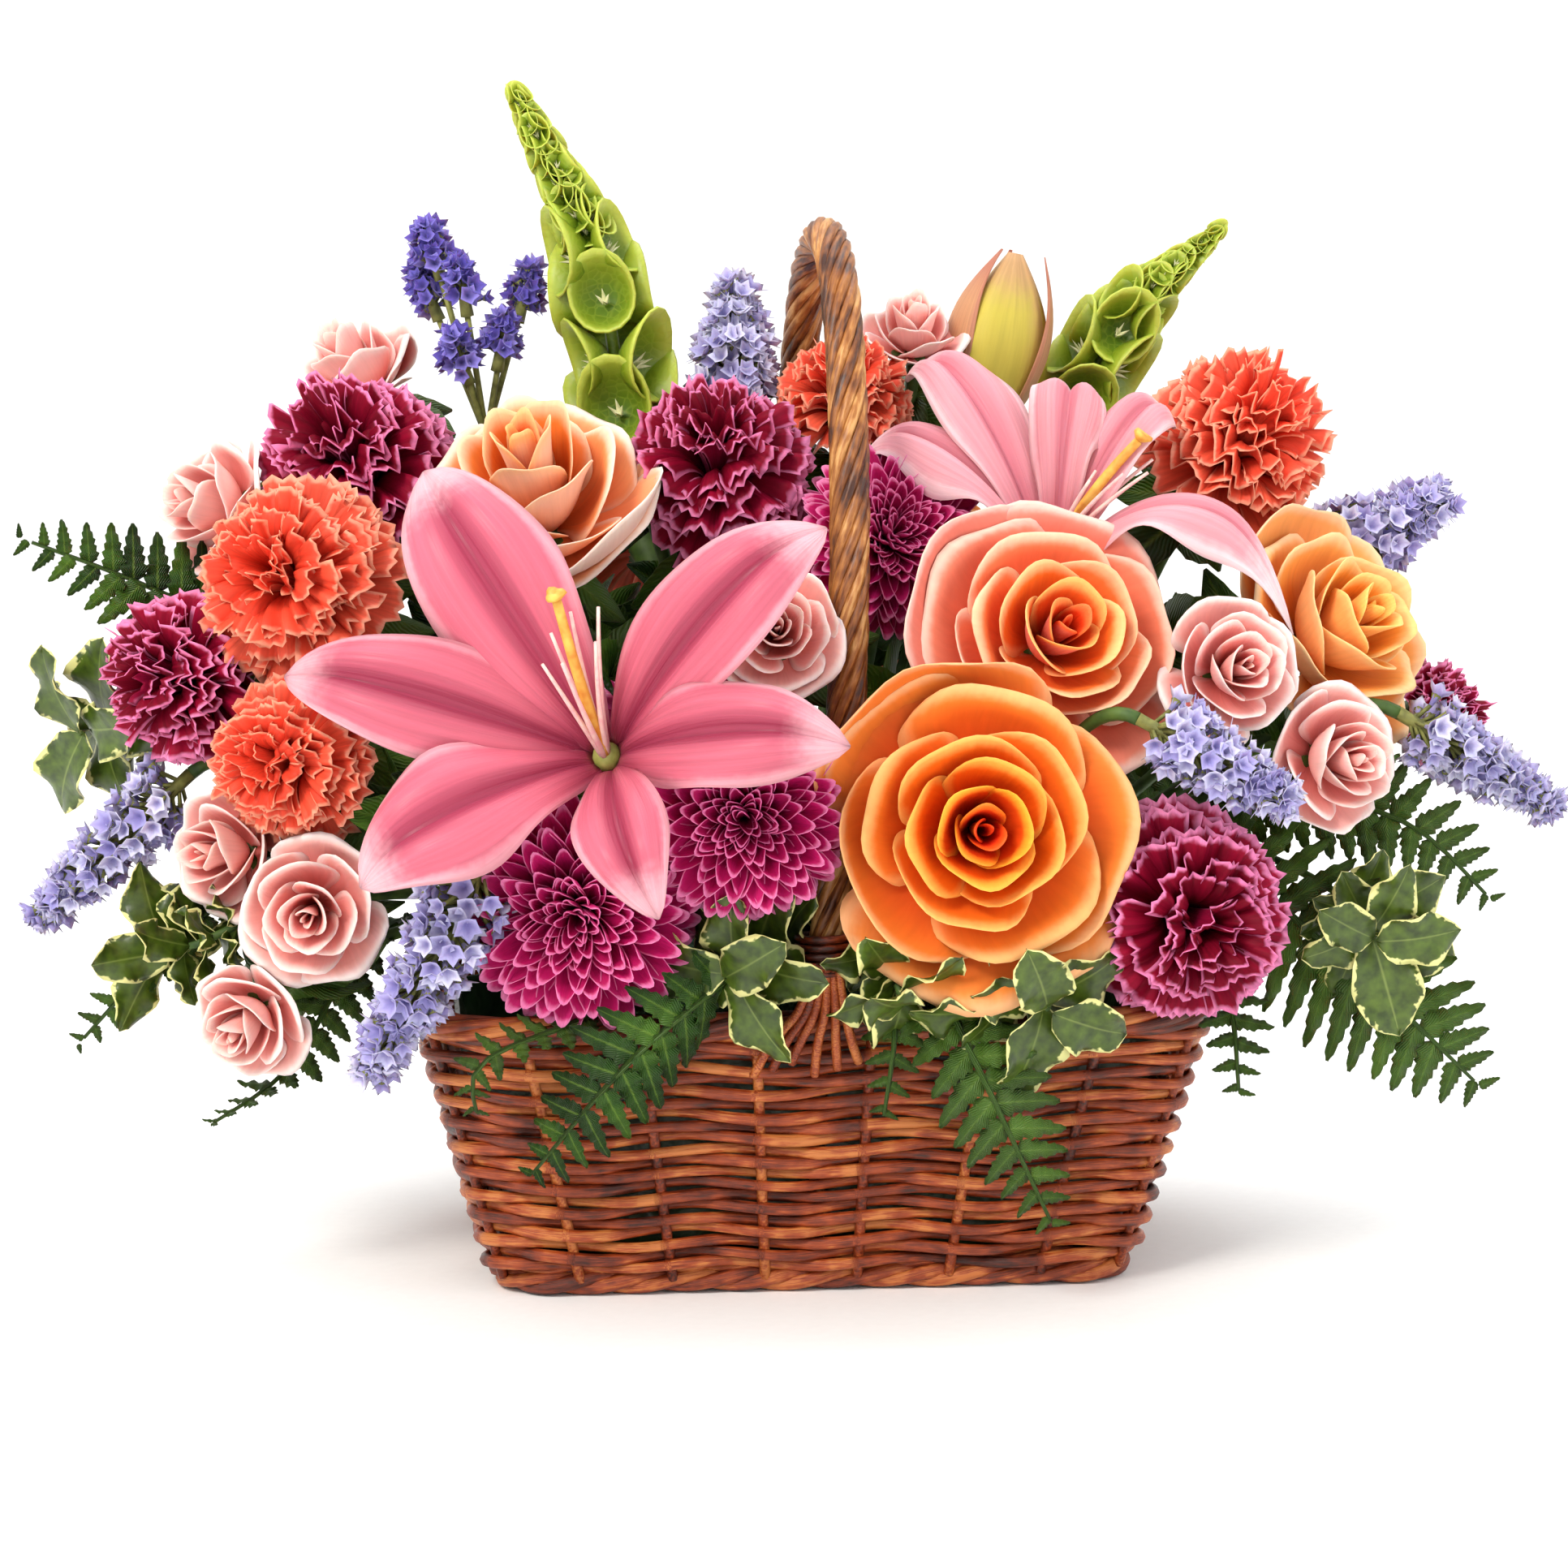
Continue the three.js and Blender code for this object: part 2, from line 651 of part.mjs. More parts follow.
// A smooth line through points, bent aside between its ends.
function bentLine(points, bend) {
  const line = points.map((p) => V(...p));
  line.slice(1, -1).forEach((p) => p.add(bend));
  return new THREE.CatmullRomCurve3(line);
}

// A fern frond: one thin arched blade with its leaflets cut to the rib, on its stalk. The leaflets lie in the
// plane of the rib's run and the given sideways direction, and both faces share the cut outline.
function frond(points, { leaflets, width, across, start = 0.35 }, bend) {
  const line = bentLine(points, bend);
  const corners = [];
  const faces = [];
  const add = (p) => corners.push(p) - 1;
  const rib = Array.from({ length: leaflets + 1 }, (_, k) => {
    const t = mix(start, 1, k / leaflets);
    const at = line.getPointAt(t);
    const tangent = line.getTangentAt(t);
    const side = V(...across).addScaledVector(tangent, -V(...across).dot(tangent)).normalize();
    const normal = side.clone().cross(tangent);
    const end = k === 0 || k === leaflets;
    const [thick, notch] = end ? [0, 0] : [BLADE * mix(0.8, 0.5, k / leaflets), mix(2, 1, k / leaflets)];
    const away = (direction, distance) => add(at.clone().addScaledVector(direction, distance));
    const [top, under] = [away(normal, thick), away(normal, -thick)];
    return { at, tangent, side, normal, top, under, left: away(side, notch), right: away(side, -notch) };
  });
  for (let k = 0; k < leaflets; k++) {
    const [a, c] = [rib[k], rib[k + 1]];
    const share = (k + 0.5) / leaflets;
    const reach = width * Math.sin(Math.PI * (0.22 + 0.78 * share) ** 0.9) ** 0.8 + 1.5;
    for (const way of [1, -1]) {
      const spot = (out, forward, drop) =>
        add(
          a.at
            .clone()
            .lerp(c.at, forward)
            .addScaledVector(a.side, way * out * reach)
            .addScaledVector(a.tangent, 0.4 * out * reach)
            .addScaledVector(a.normal, -drop * reach),
        );
      const [low, tip] = [spot(0.6, 0.02, 0.05), spot(1, 0.6, 0.16)];
      const [notchA, notchC] = way === 1 ? [a.left, c.left] : [a.right, c.right];
      [
        [a.top, c.top],
        [a.under, c.under],
      ].forEach(([p, r], skin) => {
        const cut = [
          [p, notchA, low],
          [p, low, r],
          [low, tip, r],
          [r, tip, notchC],
        ];
        for (const [x, y, z] of cut) faces.push((skin === 0) === (way === 1) ? [x, y, z] : [x, z, y]);
      });
    }
  }
  const leaf = solidOf(corners, faces);
  const reached = new THREE.CatmullRomCurve3([0, 0.5, 1].map((t) => line.getPointAt(t * (start + 0.06))));
  return fuse([leaf, rod(reached, 3, 3, (t) => mix(2.6, 1.5, t))]);
}

// A twig of variegated leaves: wavy oval blades crowded round the twig's end, each set a little further back.
function leafyTwig(points, { leaves, length, width, turn = 0 }, bend) {
  const line = bentLine(points, bend);
  const run = line.getLength();
  const blades = Array.from({ length: leaves }, (_, i) => {
    const at = 1 - (0.5 + 3.4 * i) / run;
    const long = length * (1 - 0.05 * i);
    const leaf = blade(
      (u, v) => {
        const half = (width / 2) * Math.sin(Math.PI * v ** 0.8) + 0.9 * (1 - v);
        const wave = 1.1 * Math.sin(9 * v + 2 * i) * u * u;
        return V(0.3 + long * v, u * half, 0.42 * long * v - 0.3 * long * v * v + 0.02 * half * half * u * u + wave);
      },
      2,
      3,
      BLADE,
    );
    const place = facing(line.getPointAt(at).toArray(), line.getTangentAt(at).toArray(), turn + i * GOLDEN_ANGLE);
    return moved(leaf, place);
  });
  return { wood: rod(line, 3, 3, (t) => mix(2.6, 2, t)), leaves: blades };
}

// ---- what stands where, in the arrangement's own frame: x right, y away from the viewer, z up ----

const COLOUR = {
  willow: 0xa9552b,
  handle: 0xa8703c,
  liner: 0x22331f,
  foam: 0x2f5a3c,
  stem: 0x5b7a30,
  rose: 0xf28a3d,
  lily: 0xdb6f8e,
  lilyBack: 0xe7a0bb,
  stamen: 0xe9bd55,
  bud: 0xc9bb58,
  sprayRose: 0xf3aca0,
  coral: 0xf0603f,
  burgundy: 0x7f1745,
  magenta: 0xa51f6c,
  statice: 0xaaa0dc,
  blueStatice: 0x5c4db0,
  bells: 0x93b32f,
  fern: 0x2f5c20,
  pittosporum: 0x7d9138,
};

// Roses: the middle of the face, the way it looks, radius, depth of the bloom and number of petals.
const ROSES = [
  ["rose_front", [56, -128, 158], [0.1, -1, 0.14], 51, 42],
  ["rose_right", [84, -84, 217], [0.28, -0.86, 0.42], 46, 34],
  ["rose_top", [-88, -58, 275], [-0.15, -0.66, 0.74], 38, 52],
  ["rose_side", [186, -30, 216], [0.62, -0.6, 0.5], 40, 38],
  ["rose_back", [46, 96, 218], [0.15, 0.85, 0.45], 42, 36],
];

const SPRAY_ROSES = [
  ["spray_rose_1", [-156, 36, 299], [-0.5, -0.3, 0.8], 25],
  ["spray_rose_2", [-203, -12, 247], [-0.8, -0.55, 0.25], 24],
  ["spray_rose_3", [-190, -70, 141], [-0.6, -0.8, 0.1], 23],
  ["spray_rose_4", [-151, -100, 125], [-0.05, -1, 0], 25],
  ["spray_rose_5", [-178, -86, 84], [-0.4, -0.85, -0.3], 20],
  ["spray_rose_6", [-7, -99, 217], [0.02, -0.95, 0.3], 21],
  ["spray_rose_7", [139, -84, 203], [0.3, -0.9, 0.25], 24],
  ["spray_rose_8", [177, -68, 170], [0.5, -0.85, 0.1], 24],
  ["spray_rose_9", [37, 24, 309], [0, -0.45, 0.9], 18],
  ["spray_rose_10", [-122, 80, 208], [-0.6, 0.7, 0.4], 23],
];

const CARNATIONS = [
  ["coral_carnation_1", [-165, -66, 230], [-0.4, -0.88, 0.3], 35, "coral"],
  ["coral_carnation_2", [-164, -82, 172], [-0.45, -0.88, 0.1], 29, "coral"],
  ["coral_carnation_3", [14, 10, 288], [0, -0.45, 0.9], 24, "coral"],
  ["coral_carnation_4", [150, 2, 275], [0.45, -0.5, 0.7], 34, "coral"],
  ["coral_carnation_5", [-60, 88, 240], [-0.3, 0.75, 0.6], 33, "coral"],
  ["burgundy_carnation_1", [-148, -18, 268], [-0.35, -0.65, 0.7], 35, "burgundy"],
  ["burgundy_carnation_2", [-205, -46, 193], [-0.7, -0.7, 0.1], 31, "burgundy"],
  ["burgundy_carnation_3", [-27, -26, 270], [-0.05, -0.65, 0.75], 33, "burgundy"],
  ["burgundy_carnation_4", [124, -98, 122], [0.3, -0.94, -0.05], 37, "burgundy"],
  ["burgundy_carnation_5", [217, 16, 175], [0.85, -0.35, 0.25], 20, "burgundy"],
];

const CHRYSANTHEMUMS = [
  ["chrysanthemum_1", [-17, -113, 159], [0, -1, 0.1], 33],
  ["chrysanthemum_2", [-69, -109, 125], [-0.1, -0.97, -0.1], 37],
  ["chrysanthemum_3", [33, -36, 240], [0.3, -0.85, 0.4], 31],
  ["chrysanthemum_4", [-38, 114, 160], [0, 0.95, 0.3], 35],
];

// Statice: the foot and tip of each spike, its rings of florets and its radius.
const STATICE = [
  ["statice_1", [-21, 24, 266], [-21, 24, 312], 4, 18],
  ["statice_2", [-196, -27, 157], [-247, -31, 109], 5, 15],
  ["statice_3", [-96, -98, 142], [-134, -102, 72], 6, 17],
  ["statice_4", [172, 36, 220], [213, 34, 243], 4, 18],
  ["statice_5", [106, -88, 184], [152, -98, 160], 4, 15],
  ["statice_6", [192, -33, 178], [243, -30, 147], 5, 14],
];
const BLUE_STATICE_FOOT = [-102, 30, 262];
const BLUE_STATICE_TIPS = [
  [-121, 30, 325],
  [-105, 22, 297],
  [-87, 36, 314],
];

const LILY_FRONT = {
  root: [-58, -96, 175],
  face: [-0.2, -0.88, 0.42],
  petals: [
    { angle: 114, reach: 103, width: 56, inner: true },
    { angle: 204, reach: 82, width: 52, inner: true },
    { angle: -13, reach: 79, width: 42, inner: true },
    { angle: 33, reach: 94, width: 46, inner: false },
    { angle: 158, reach: 99, width: 44, inner: false },
    { angle: 283, reach: 61, width: 36, inner: false },
  ],
};
const LILY_BACK = {
  root: [80, -22, 224],
  face: [0, -0.3, 0.95],
  petals: [
    { angle: 158, reach: 68, width: 34, inner: true },
    { angle: 130, reach: 70, width: 36, inner: false, depth: 62, curl: 10 },
    { angle: 78, reach: 32, width: 46, inner: true, depth: 56, curl: 2 },
    { angle: 36, reach: 48, width: 34, inner: false, depth: 54, curl: 8 },
    { angle: -18, reach: 78, width: 36, inner: true, depth: 38, curl: 40 },
    { angle: 262, reach: 32, width: 30, inner: false, depth: 50, curl: 22 },
  ],
};
const BUD = { root: [58, 44, 258], face: [0.2, 0, 1], length: 64, radius: 15 };
const BELLS = [
  ["bells_of_ireland_1", [-56, 18, 264], [-90, 20, 371], [7, 0, 3], 6, 27],
  ["bells_of_ireland_2", [90, 64, 268], [137, 60, 326], [-2, 0, 5], 5, 23],
];

// Fern fronds and leafy twigs rise from a crown just above the foam, whose stalk stands in a plain hole.
const ACROSS_FRONT = [0.35, 0, 1];
const ACROSS_DOWN = [1, 0.1, 0];
const FERNS = [
  [
    "fern_left",
    [-78, 18, 110],
    [
      { to: [[-150, 6, 196], [-205, -4, 226], [-252, -20, 236]], leaflets: 7, width: 20, across: [0.2, 0.1, 1] },
      { to: [[-150, -30, 142], [-200, -44, 108], [-232, -50, 72]], leaflets: 7, width: 13, across: [1, 0, 0.5] },
      { to: [[-140, -40, 124], [-168, -62, 84], [-187, -74, 54]], leaflets: 7, width: 12, across: [1, 0, 0.3] },
      { to: [[-140, 50, 150], [-185, 70, 168], [-215, 82, 150]], leaflets: 7, width: 20, across: [0.2, -0.8, 0.6] },
    ],
  ],
  [
    "fern_right",
    [78, 2, 110],
    [
      { to: [[130, -34, 130], [176, -56, 100], [217, -62, 62]], leaflets: 9, width: 27, across: [0.5, 0.1, 1] },
      { to: [[140, -20, 150], [190, -36, 146], [222, -42, 118]], leaflets: 7, width: 17, across: [0.6, 0.2, 1] },
      { to: [[106, -50, 112], [124, -78, 96], [136, -82, 64]], leaflets: 7, width: 12, across: ACROSS_DOWN },
      { to: [[130, 50, 146], [176, 66, 158], [208, 72, 138]], leaflets: 7, width: 20, across: [0.3, 0.8, 0.5] },
    ],
  ],
  [
    "fern_front",
    [-8, -42, 110],
    [
      { to: [[-20, -84, 106], [-48, -97, 84], [-86, -98, 42]], leaflets: 9, width: 17, across: ACROSS_FRONT },
      { to: [[38, -80, 108], [50, -95, 88], [80, -91, 24]], leaflets: 9, width: 17, across: ACROSS_DOWN },
      { to: [[-60, -76, 110], [-92, -96, 98], [-98, -101, 62]], leaflets: 5, width: 9, across: ACROSS_DOWN },
      { to: [[22, -82, 107], [26, -98, 94], [25, -97, 60]], leaflets: 5, width: 9, across: ACROSS_DOWN },
    ],
  ],
  [
    "fern_back",
    [10, 42, 110],
    [
      { to: [[30, 84, 112], [62, 102, 92], [84, 106, 52]], leaflets: 8, width: 18, across: ACROSS_DOWN },
      { to: [[-30, 84, 112], [-66, 106, 92], [-92, 110, 50]], leaflets: 8, width: 18, across: ACROSS_DOWN },
      { to: [[90, 60, 160], [122, 84, 190], [150, 98, 196]], leaflets: 8, width: 20, across: [0.2, -0.3, 1] },
    ],
  ],
];
const TWIGS = [
  [
    "pittosporum_left",
    [-82, -6, 110],
    [
      { to: [[-150, 2, 150], [-208, 12, 166], [-232, -14, 170]], leaves: 9, length: 34, width: 25, turn: 0.9 },
      { to: [[-140, -16, 124], [-180, -34, 110], [-204, -42, 104]], leaves: 8, length: 28, width: 20, turn: 0.5 },
      { to: [[-92, 44, 114], [-88, 84, 112], [-86, 104, 106]], leaves: 7, length: 32, width: 24, turn: 0.4 },
    ],
  ],
  [
    "pittosporum_front",
    [22, -40, 110],
    [
      { to: [[8, -70, 116], [-14, -88, 114], [-24, -102, 108]], leaves: 10, length: 32, width: 23 },
      { to: [[26, -76, 112], [30, -92, 104], [33, -106, 98]], leaves: 9, length: 28, width: 21, turn: 0.7 },
      { to: [[54, -68, 113], [68, -86, 105], [77, -102, 97]], leaves: 9, length: 32, width: 25, turn: 0.2 },
    ],
  ],
  [
    "pittosporum_right",
    [76, 30, 110],
    [
      { to: [[130, -16, 132], [166, -56, 122], [178, -76, 114]], leaves: 9, length: 31, width: 24, turn: 0.3 },
      { to: [[110, 56, 136], [128, 74, 150], [134, 80, 156]], leaves: 7, length: 34, width: 24 },
      { to: [[62, 72, 126], [44, 88, 120], [34, 98, 114]], leaves: 7, length: 30, width: 22 },
    ],
  ],
];

// ---- stems: each third of the arrangement has its stems gathered just over the foam, and a foot in a hole ----
const STEM_MEETS = [
  ["stems_left", [-52, 2, 114]],
  ["stems_middle", [0, 0, 114]],
  ["stems_right", [52, 2, 114]],
];
const THIRD = 78;
const FOOT_OF_STALK = 70;

// A stalk from a crown straight down into the foam; grown by extra it is the hole that the stalk stands in.
function stalk(crown, radius, extra = 0) {
  const foot = V(crown[0], crown[1], FOOT_OF_STALK - extra);
  return rod(new THREE.LineCurve3(V(...crown), foot), 1, 6, () => radius + extra);
}

// A stem from a bloom's root, leaving it backwards, over the rim and down to where the stems meet.
function stem({ root, face, radius }, meets, bend) {
  const start = V(...root);
  const end = V(...meets);
  const away = start.clone().addScaledVector(V(...face).normalize(), -0.22 * start.distanceTo(end));
  away.z = Math.max(away.z, 108);
  const over = V(mix(end.x, start.x, 0.3), mix(end.y, start.y, 0.3), 120).add(bend);
  const line = new THREE.CubicBezierCurve3(start, away, over, end);
  return rod(line, 3, 3, (t) => mix(radius * 1.6, radius, Math.min(1, t * 3)));
}

// The knot where a third's stems meet, and its stalk.
function stemKnot(meets) {
  const knot = turned(
    [
      [0, -8],
      [11, -6],
      [14, 1],
      [9, 9],
      [0, 12],
    ],
    7,
  );
  return fuse([knot.translate(meets), stalk(meets, 6)]);
}

// ---- assembly ----

const basket = new THREE.Group();
const arrangement = new THREE.Group();
arrangement.rotation.z = ARRANGEMENT_TURN;
const arrangementMatrix = new THREE.Matrix4().makeRotationZ(ARRANGEMENT_TURN);

const pieces = [];
const sockets = []; // where each bloom needs a stem

// Branches and leaves are kept apart from their piece until its neighbours are settled: each branch is made with
// the bend that clears them best, and a leaf grows only where it has room.
const AT_HOME = new THREE.Matrix4();
function addPiece(name, solid, colour, roughness, group = basket, matrix = AT_HOME, branches = []) {
  const world = group === arrangement ? arrangementMatrix.clone().multiply(matrix) : matrix;
  pieces.push({ name, colour, roughness, group, matrix, world, solid: moved(solid, world), branches });
}

// Notes that a stem of a radius is to end behind a root, at the foot of the piece that stands there.
function addSocket(root, face, foot, radius) {
  sockets.push({ root: V(...root).addScaledVector(V(...face).normalize(), -foot - GAP).toArray(), face, radius });
}

// Adds a bloom whose face's middle is given; its root lies one depth behind it, and its foot behind that.
function addBloom(name, face, toward, depth, solid, colour, foot, stemRadius) {
  const root = V(...face).addScaledVector(V(...toward).normalize(), -depth).toArray();
  addPiece(name, solid, colour, 0.6, arrangement, facing(root, toward));
  addSocket(root, toward, foot, stemRadius);
}

const LOOK_UP = [0, 0, 1];

addPiece("basket_base", wovenBase(), COLOUR.willow, 0.6);
addPiece("basket_wall", wovenWall(), COLOUR.willow, 0.6);
const rimSize = wallSize(WALL_TOP);
addPiece(
  "basket_rim",
  plaitedRing(rimSize[0] - 1.5, rimSize[1] - 1.5, rimSize[2], WALL_TOP + GAP + RIM_RADIUS, RIM_RADIUS * 0.93, 34, 5, false),
  COLOUR.willow,
  0.6,
);
addPiece("basket_handle", hoopHandle(), COLOUR.handle, 0.55);
addPiece("lashing_front", lashing(-1), COLOUR.willow, 0.6);
addPiece("lashing_back", lashing(1), COLOUR.willow, 0.6);
addPiece("liner", linerTray(), COLOUR.liner, 0.4);

for (const [name, face, toward, radius, depth] of ROSES) {
  addBloom(name, face, toward, depth, rose({ radius, depth, rings: ROSE_RINGS, petal: ROSE_PETAL, seed: radius }), COLOUR.rose, 5, 2.4);
}
const lilyFront = lily(LILY_FRONT.petals);
const lilyFrontPlace = facing(LILY_FRONT.root, LILY_FRONT.face);
addPiece("lily_front", lilyFront, COLOUR.lily, 0.5, arrangement, lilyFrontPlace);
addPiece("lily_front_stamens", stamens(51, [0.6, 34]), COLOUR.stamen, 0.6, arrangement, lilyFrontPlace);
const lilyBack = fuse([lily(LILY_BACK.petals), stamens(43, [26, 5]).translate([0, 0, -2])]);
addPiece("lily_back", lilyBack, COLOUR.lilyBack, 0.5, arrangement, facing(LILY_BACK.root, LILY_BACK.face));
addPiece("lily_bud", bud(BUD.length, BUD.radius), COLOUR.bud, 0.5, arrangement, facing(BUD.root, BUD.face));
for (const { root, face } of [LILY_FRONT, LILY_BACK, BUD]) {
  addSocket(root, face, 7, 2.6);
}
for (const [name, face, toward, radius] of SPRAY_ROSES) {
  const shape = { rings: SPRAY_ROSE_RINGS, petal: SPRAY_ROSE_PETAL, seed: radius + Math.abs(face[0]) };
  const bloom = rose({ radius, depth: radius * 1.25, ...shape });
  addBloom(name, face, toward, radius * 1.25, bloom, COLOUR.sprayRose, 5, 1.7);
}
for (const [name, face, toward, radius, colour] of CARNATIONS) {
  addBloom(name, face, toward, radius * 1.1, carnation(radius, radius + Math.abs(face[1])), COLOUR[colour], 0, 2);
}
for (const [name, face, toward, radius] of CHRYSANTHEMUMS) {
  addBloom(name, face, toward, radius, chrysanthemum(radius, radius), COLOUR.magenta, 0, 2);
}
for (const [name, foot, tip, levels, radius] of STATICE) {
  const spike = floretSpike(distance(foot, tip), radius, levels, levels + radius);
  addPiece(name, spike, COLOUR.statice, 0.8, arrangement, between(foot, tip));
  addSocket(foot, V(...tip).sub(V(...foot)).toArray(), 4, 1.5);
}
addPiece("blue_statice", blueStatice(BLUE_STATICE_FOOT, BLUE_STATICE_TIPS), COLOUR.blueStatice, 0.8, arrangement);
addSocket(BLUE_STATICE_FOOT, LOOK_UP, 2, 1.5);
for (const [name, foot, tip, lean, levels, radius] of BELLS) {
  addPiece(name, bellSpike(foot, tip, lean, levels, radius), COLOUR.bells, 0.5, arrangement);
  addSocket(foot, V(...tip).sub(V(...foot)).toArray(), 2, 2);
}

// Stems, fronds and twigs fused at their crowns, and the stalks that go down into the foam.
STEM_MEETS.forEach(([name, meets], i) => {
  const own = sockets.filter(({ root }) => (root[0] < -THIRD ? 0 : root[0] > THIRD ? 2 : 1) === i);
  const branches = own.map((socket) => (bend) => ({ wood: stem(socket, meets, bend), leaves: [] }));
  addPiece(name, stemKnot(meets), COLOUR.stem, 0.6, arrangement, AT_HOME, branches);
});
for (const [name, crown, fronds] of FERNS) {
  const branches = fronds.map((f) => (bend) => ({ wood: frond([crown, ...f.to], f, bend), leaves: [] }));
  addPiece(name, stalk(crown, 3), COLOUR.fern, 0.5, arrangement, AT_HOME, branches);
}
for (const [name, crown, twigs] of TWIGS) {
  const branches = twigs.map((t) => (bend) => leafyTwig([crown, ...t.to], t, bend));
  addPiece(name, stalk(crown, 3), COLOUR.pittosporum, 0.5, arrangement, AT_HOME, branches);
}

const holes = [
  ...STEM_MEETS.map(([, meets]) => stalk(meets, 6, GAP)),
  ...[...FERNS, ...TWIGS].map(([, crown]) => stalk(crown, 3, GAP)),
];
const foamBottom = BASE_PLATE + 2.6 + LINER_WALL + GAP;
const foam = taperedBlock(FOAM_HALF, FOAM_HALF, foamBottom, FOAM_TOP, 10, 16);
addPiece("flower_foam", foam.subtract(moved(fuse(holes), arrangementMatrix)), COLOUR.foam, 0.9);

// Where two pieces would cross, the later one in this order is trimmed back round the crossing.
const RANK = ["basket", "liner", "flower_foam", "lashing", "lily_front_", "rose", "spray", "lily", "coral", ""];
const LAST = ["stems", "fern", "pittosporum"];
const rank = ({ name }) => {
  const late = LAST.findIndex((start) => name.startsWith(start));
  return late < 0 ? RANK.findIndex((start) => name.startsWith(start)) : RANK.length + late;
};

// A cutter that holds a crossing with a margin round it: a box with its eight corners planed off.
const PLANES = [1, -1].flatMap((x) => [1, -1].flatMap((y) => [1, -1].map((z) => V(x, y, z).normalize())));
function cutterRound(crossing) {
  const { vertProperties: at } = crossing.getMesh();
  const spots = [];
  for (let i = 0; i < at.length; i += 3) spots.push(V(at[i], at[i + 1], at[i + 2]));
  const box = new THREE.Box3().setFromPoints(spots).expandByScalar(GAP);
  const [size, centre] = [box.getSize(V()), box.getCenter(V())];
  const block = solidOfGeometry(new THREE.BoxGeometry(size.x, size.y, size.z).translate(...centre.toArray()));
  return PLANES.reduce((cutter, out) => {
    const far = Math.max(...spots.map((p) => p.dot(out))) + GAP;
    return cutter.trimByPlane(out.clone().negate().toArray(), -far);
  }, block);
}

function crossingOf(a, b) {
  const [p, q] = [a.boundingBox(), b.boundingBox()];
  if (![0, 1, 2].every((i) => p.min[i] < q.max[i] && q.min[i] < p.max[i])) return null;
  const crossing = a.intersect(b);
  return crossing.volume() > 0 ? crossing : null;
}

// Bends tried for a stem, frond or twig, the straightest first.
const BENDS = [0, 7, 14, 22].flatMap((far) =>
  (far ? [0, 1, 2, 3, 4, 5, 6, 7] : [0]).map((i) => {
    const angle = (Math.PI * i) / 4;
    return V(0.4 * far * Math.cos(angle), far * Math.cos(angle), far * Math.sin(angle));
  }),
);

// The branch with the bend that presses least on the settled pieces, and its leaves that have room.
function grown(make, settled) {
  let best = null;
  for (const bend of BENDS) {
    const { wood, leaves } = make(bend);
    const placed = moved(wood, arrangementMatrix);
    const pressed = settled.reduce((sum, { solid }) => sum + (crossingOf(placed, solid)?.volume() ?? 0), 0);
    if (!best || pressed < best.pressed) best = { wood: placed, leaves, pressed };
    if (!pressed) break;
  }
  const leaves = best.leaves.map((leaf) => moved(leaf, arrangementMatrix));
  return { wood: best.wood, leaves: leaves.filter((leaf) => settled.every(({ solid }) => !crossingOf(leaf, solid))) };
}

const SMALL_CUT = 900; // cubic millimetres that one cutter may take for a whole crossing
const settled = [];
for (const piece of [...pieces].sort((a, b) => rank(a) - rank(b))) {
  const branches = piece.branches.map((make) => grown(make, settled));
  if (branches.length) piece.solid = fuse([piece.solid, ...branches.map(({ wood }) => wood)]);
  for (const other of settled) {
    const crossing = crossingOf(piece.solid, other.solid);
    if (!crossing) continue;
    const whole = cutterRound(crossing);
    const cutter = whole.volume() < SMALL_CUT ? whole : fuse(crossing.decompose().map(cutterRound));
    piece.solid = largest(piece.solid.subtract(cutter));
  }
  const leaves = branches.flatMap((branch) => branch.leaves).filter((leaf) => crossingOf(leaf, piece.solid));
  if (leaves.length) piece.solid = fuse([piece.solid, ...leaves]);
  settled.push(piece);
}

for (const { name, solid, colour, roughness, group, matrix, world } of pieces) {
  const material = new THREE.MeshStandardMaterial({ color: colour, roughness, metalness: 0 });
  const mesh = new THREE.Mesh(geometryOf(moved(solid, world.clone().invert())), material);
  mesh.name = name;
  matrix.decompose(mesh.position, mesh.quaternion, mesh.scale);
  group.add(mesh);
}

const flowerBasket = new THREE.Group();
flowerBasket.add(basket, arrangement);

export default flowerBasket;
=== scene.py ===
import math

import bpy
import numpy as np
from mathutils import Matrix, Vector


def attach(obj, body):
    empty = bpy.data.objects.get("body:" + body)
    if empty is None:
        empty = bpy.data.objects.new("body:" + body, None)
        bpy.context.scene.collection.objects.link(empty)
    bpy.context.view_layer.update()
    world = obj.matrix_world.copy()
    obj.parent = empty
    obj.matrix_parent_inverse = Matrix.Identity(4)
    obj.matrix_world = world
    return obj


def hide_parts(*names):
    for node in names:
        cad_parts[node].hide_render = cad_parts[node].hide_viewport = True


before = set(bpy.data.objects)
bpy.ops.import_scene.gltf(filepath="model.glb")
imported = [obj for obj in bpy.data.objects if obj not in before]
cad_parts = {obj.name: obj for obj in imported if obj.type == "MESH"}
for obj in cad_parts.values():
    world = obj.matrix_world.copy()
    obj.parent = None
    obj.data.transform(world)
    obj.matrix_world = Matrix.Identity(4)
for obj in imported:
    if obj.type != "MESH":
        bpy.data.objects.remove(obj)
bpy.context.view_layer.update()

# %% [markdown]
# ## Two ways to make a solid
# Almost everything in a flower basket is either a sheet or a rod. A petal is a thin curved sheet: it could
# be a plane with a modifier on it, but a grid of points that is pushed out to both sides gives full control
# of its rim. A willow rod, a stem or a bell is a row of rings round a line. Both are written once here and
# used for all. Each point also carries five marks that the finishes read later: how far across and along
# its petal it lies, how far its petal is from the bloom's heart, a random number for its petal, and whether
# it is on the face that turns to the heart or up.
# %% Sheets with two faces
MM = 0.001
TURN = 2 * math.pi
GOLDEN_ANGLE = math.pi * (3 - math.sqrt(5))
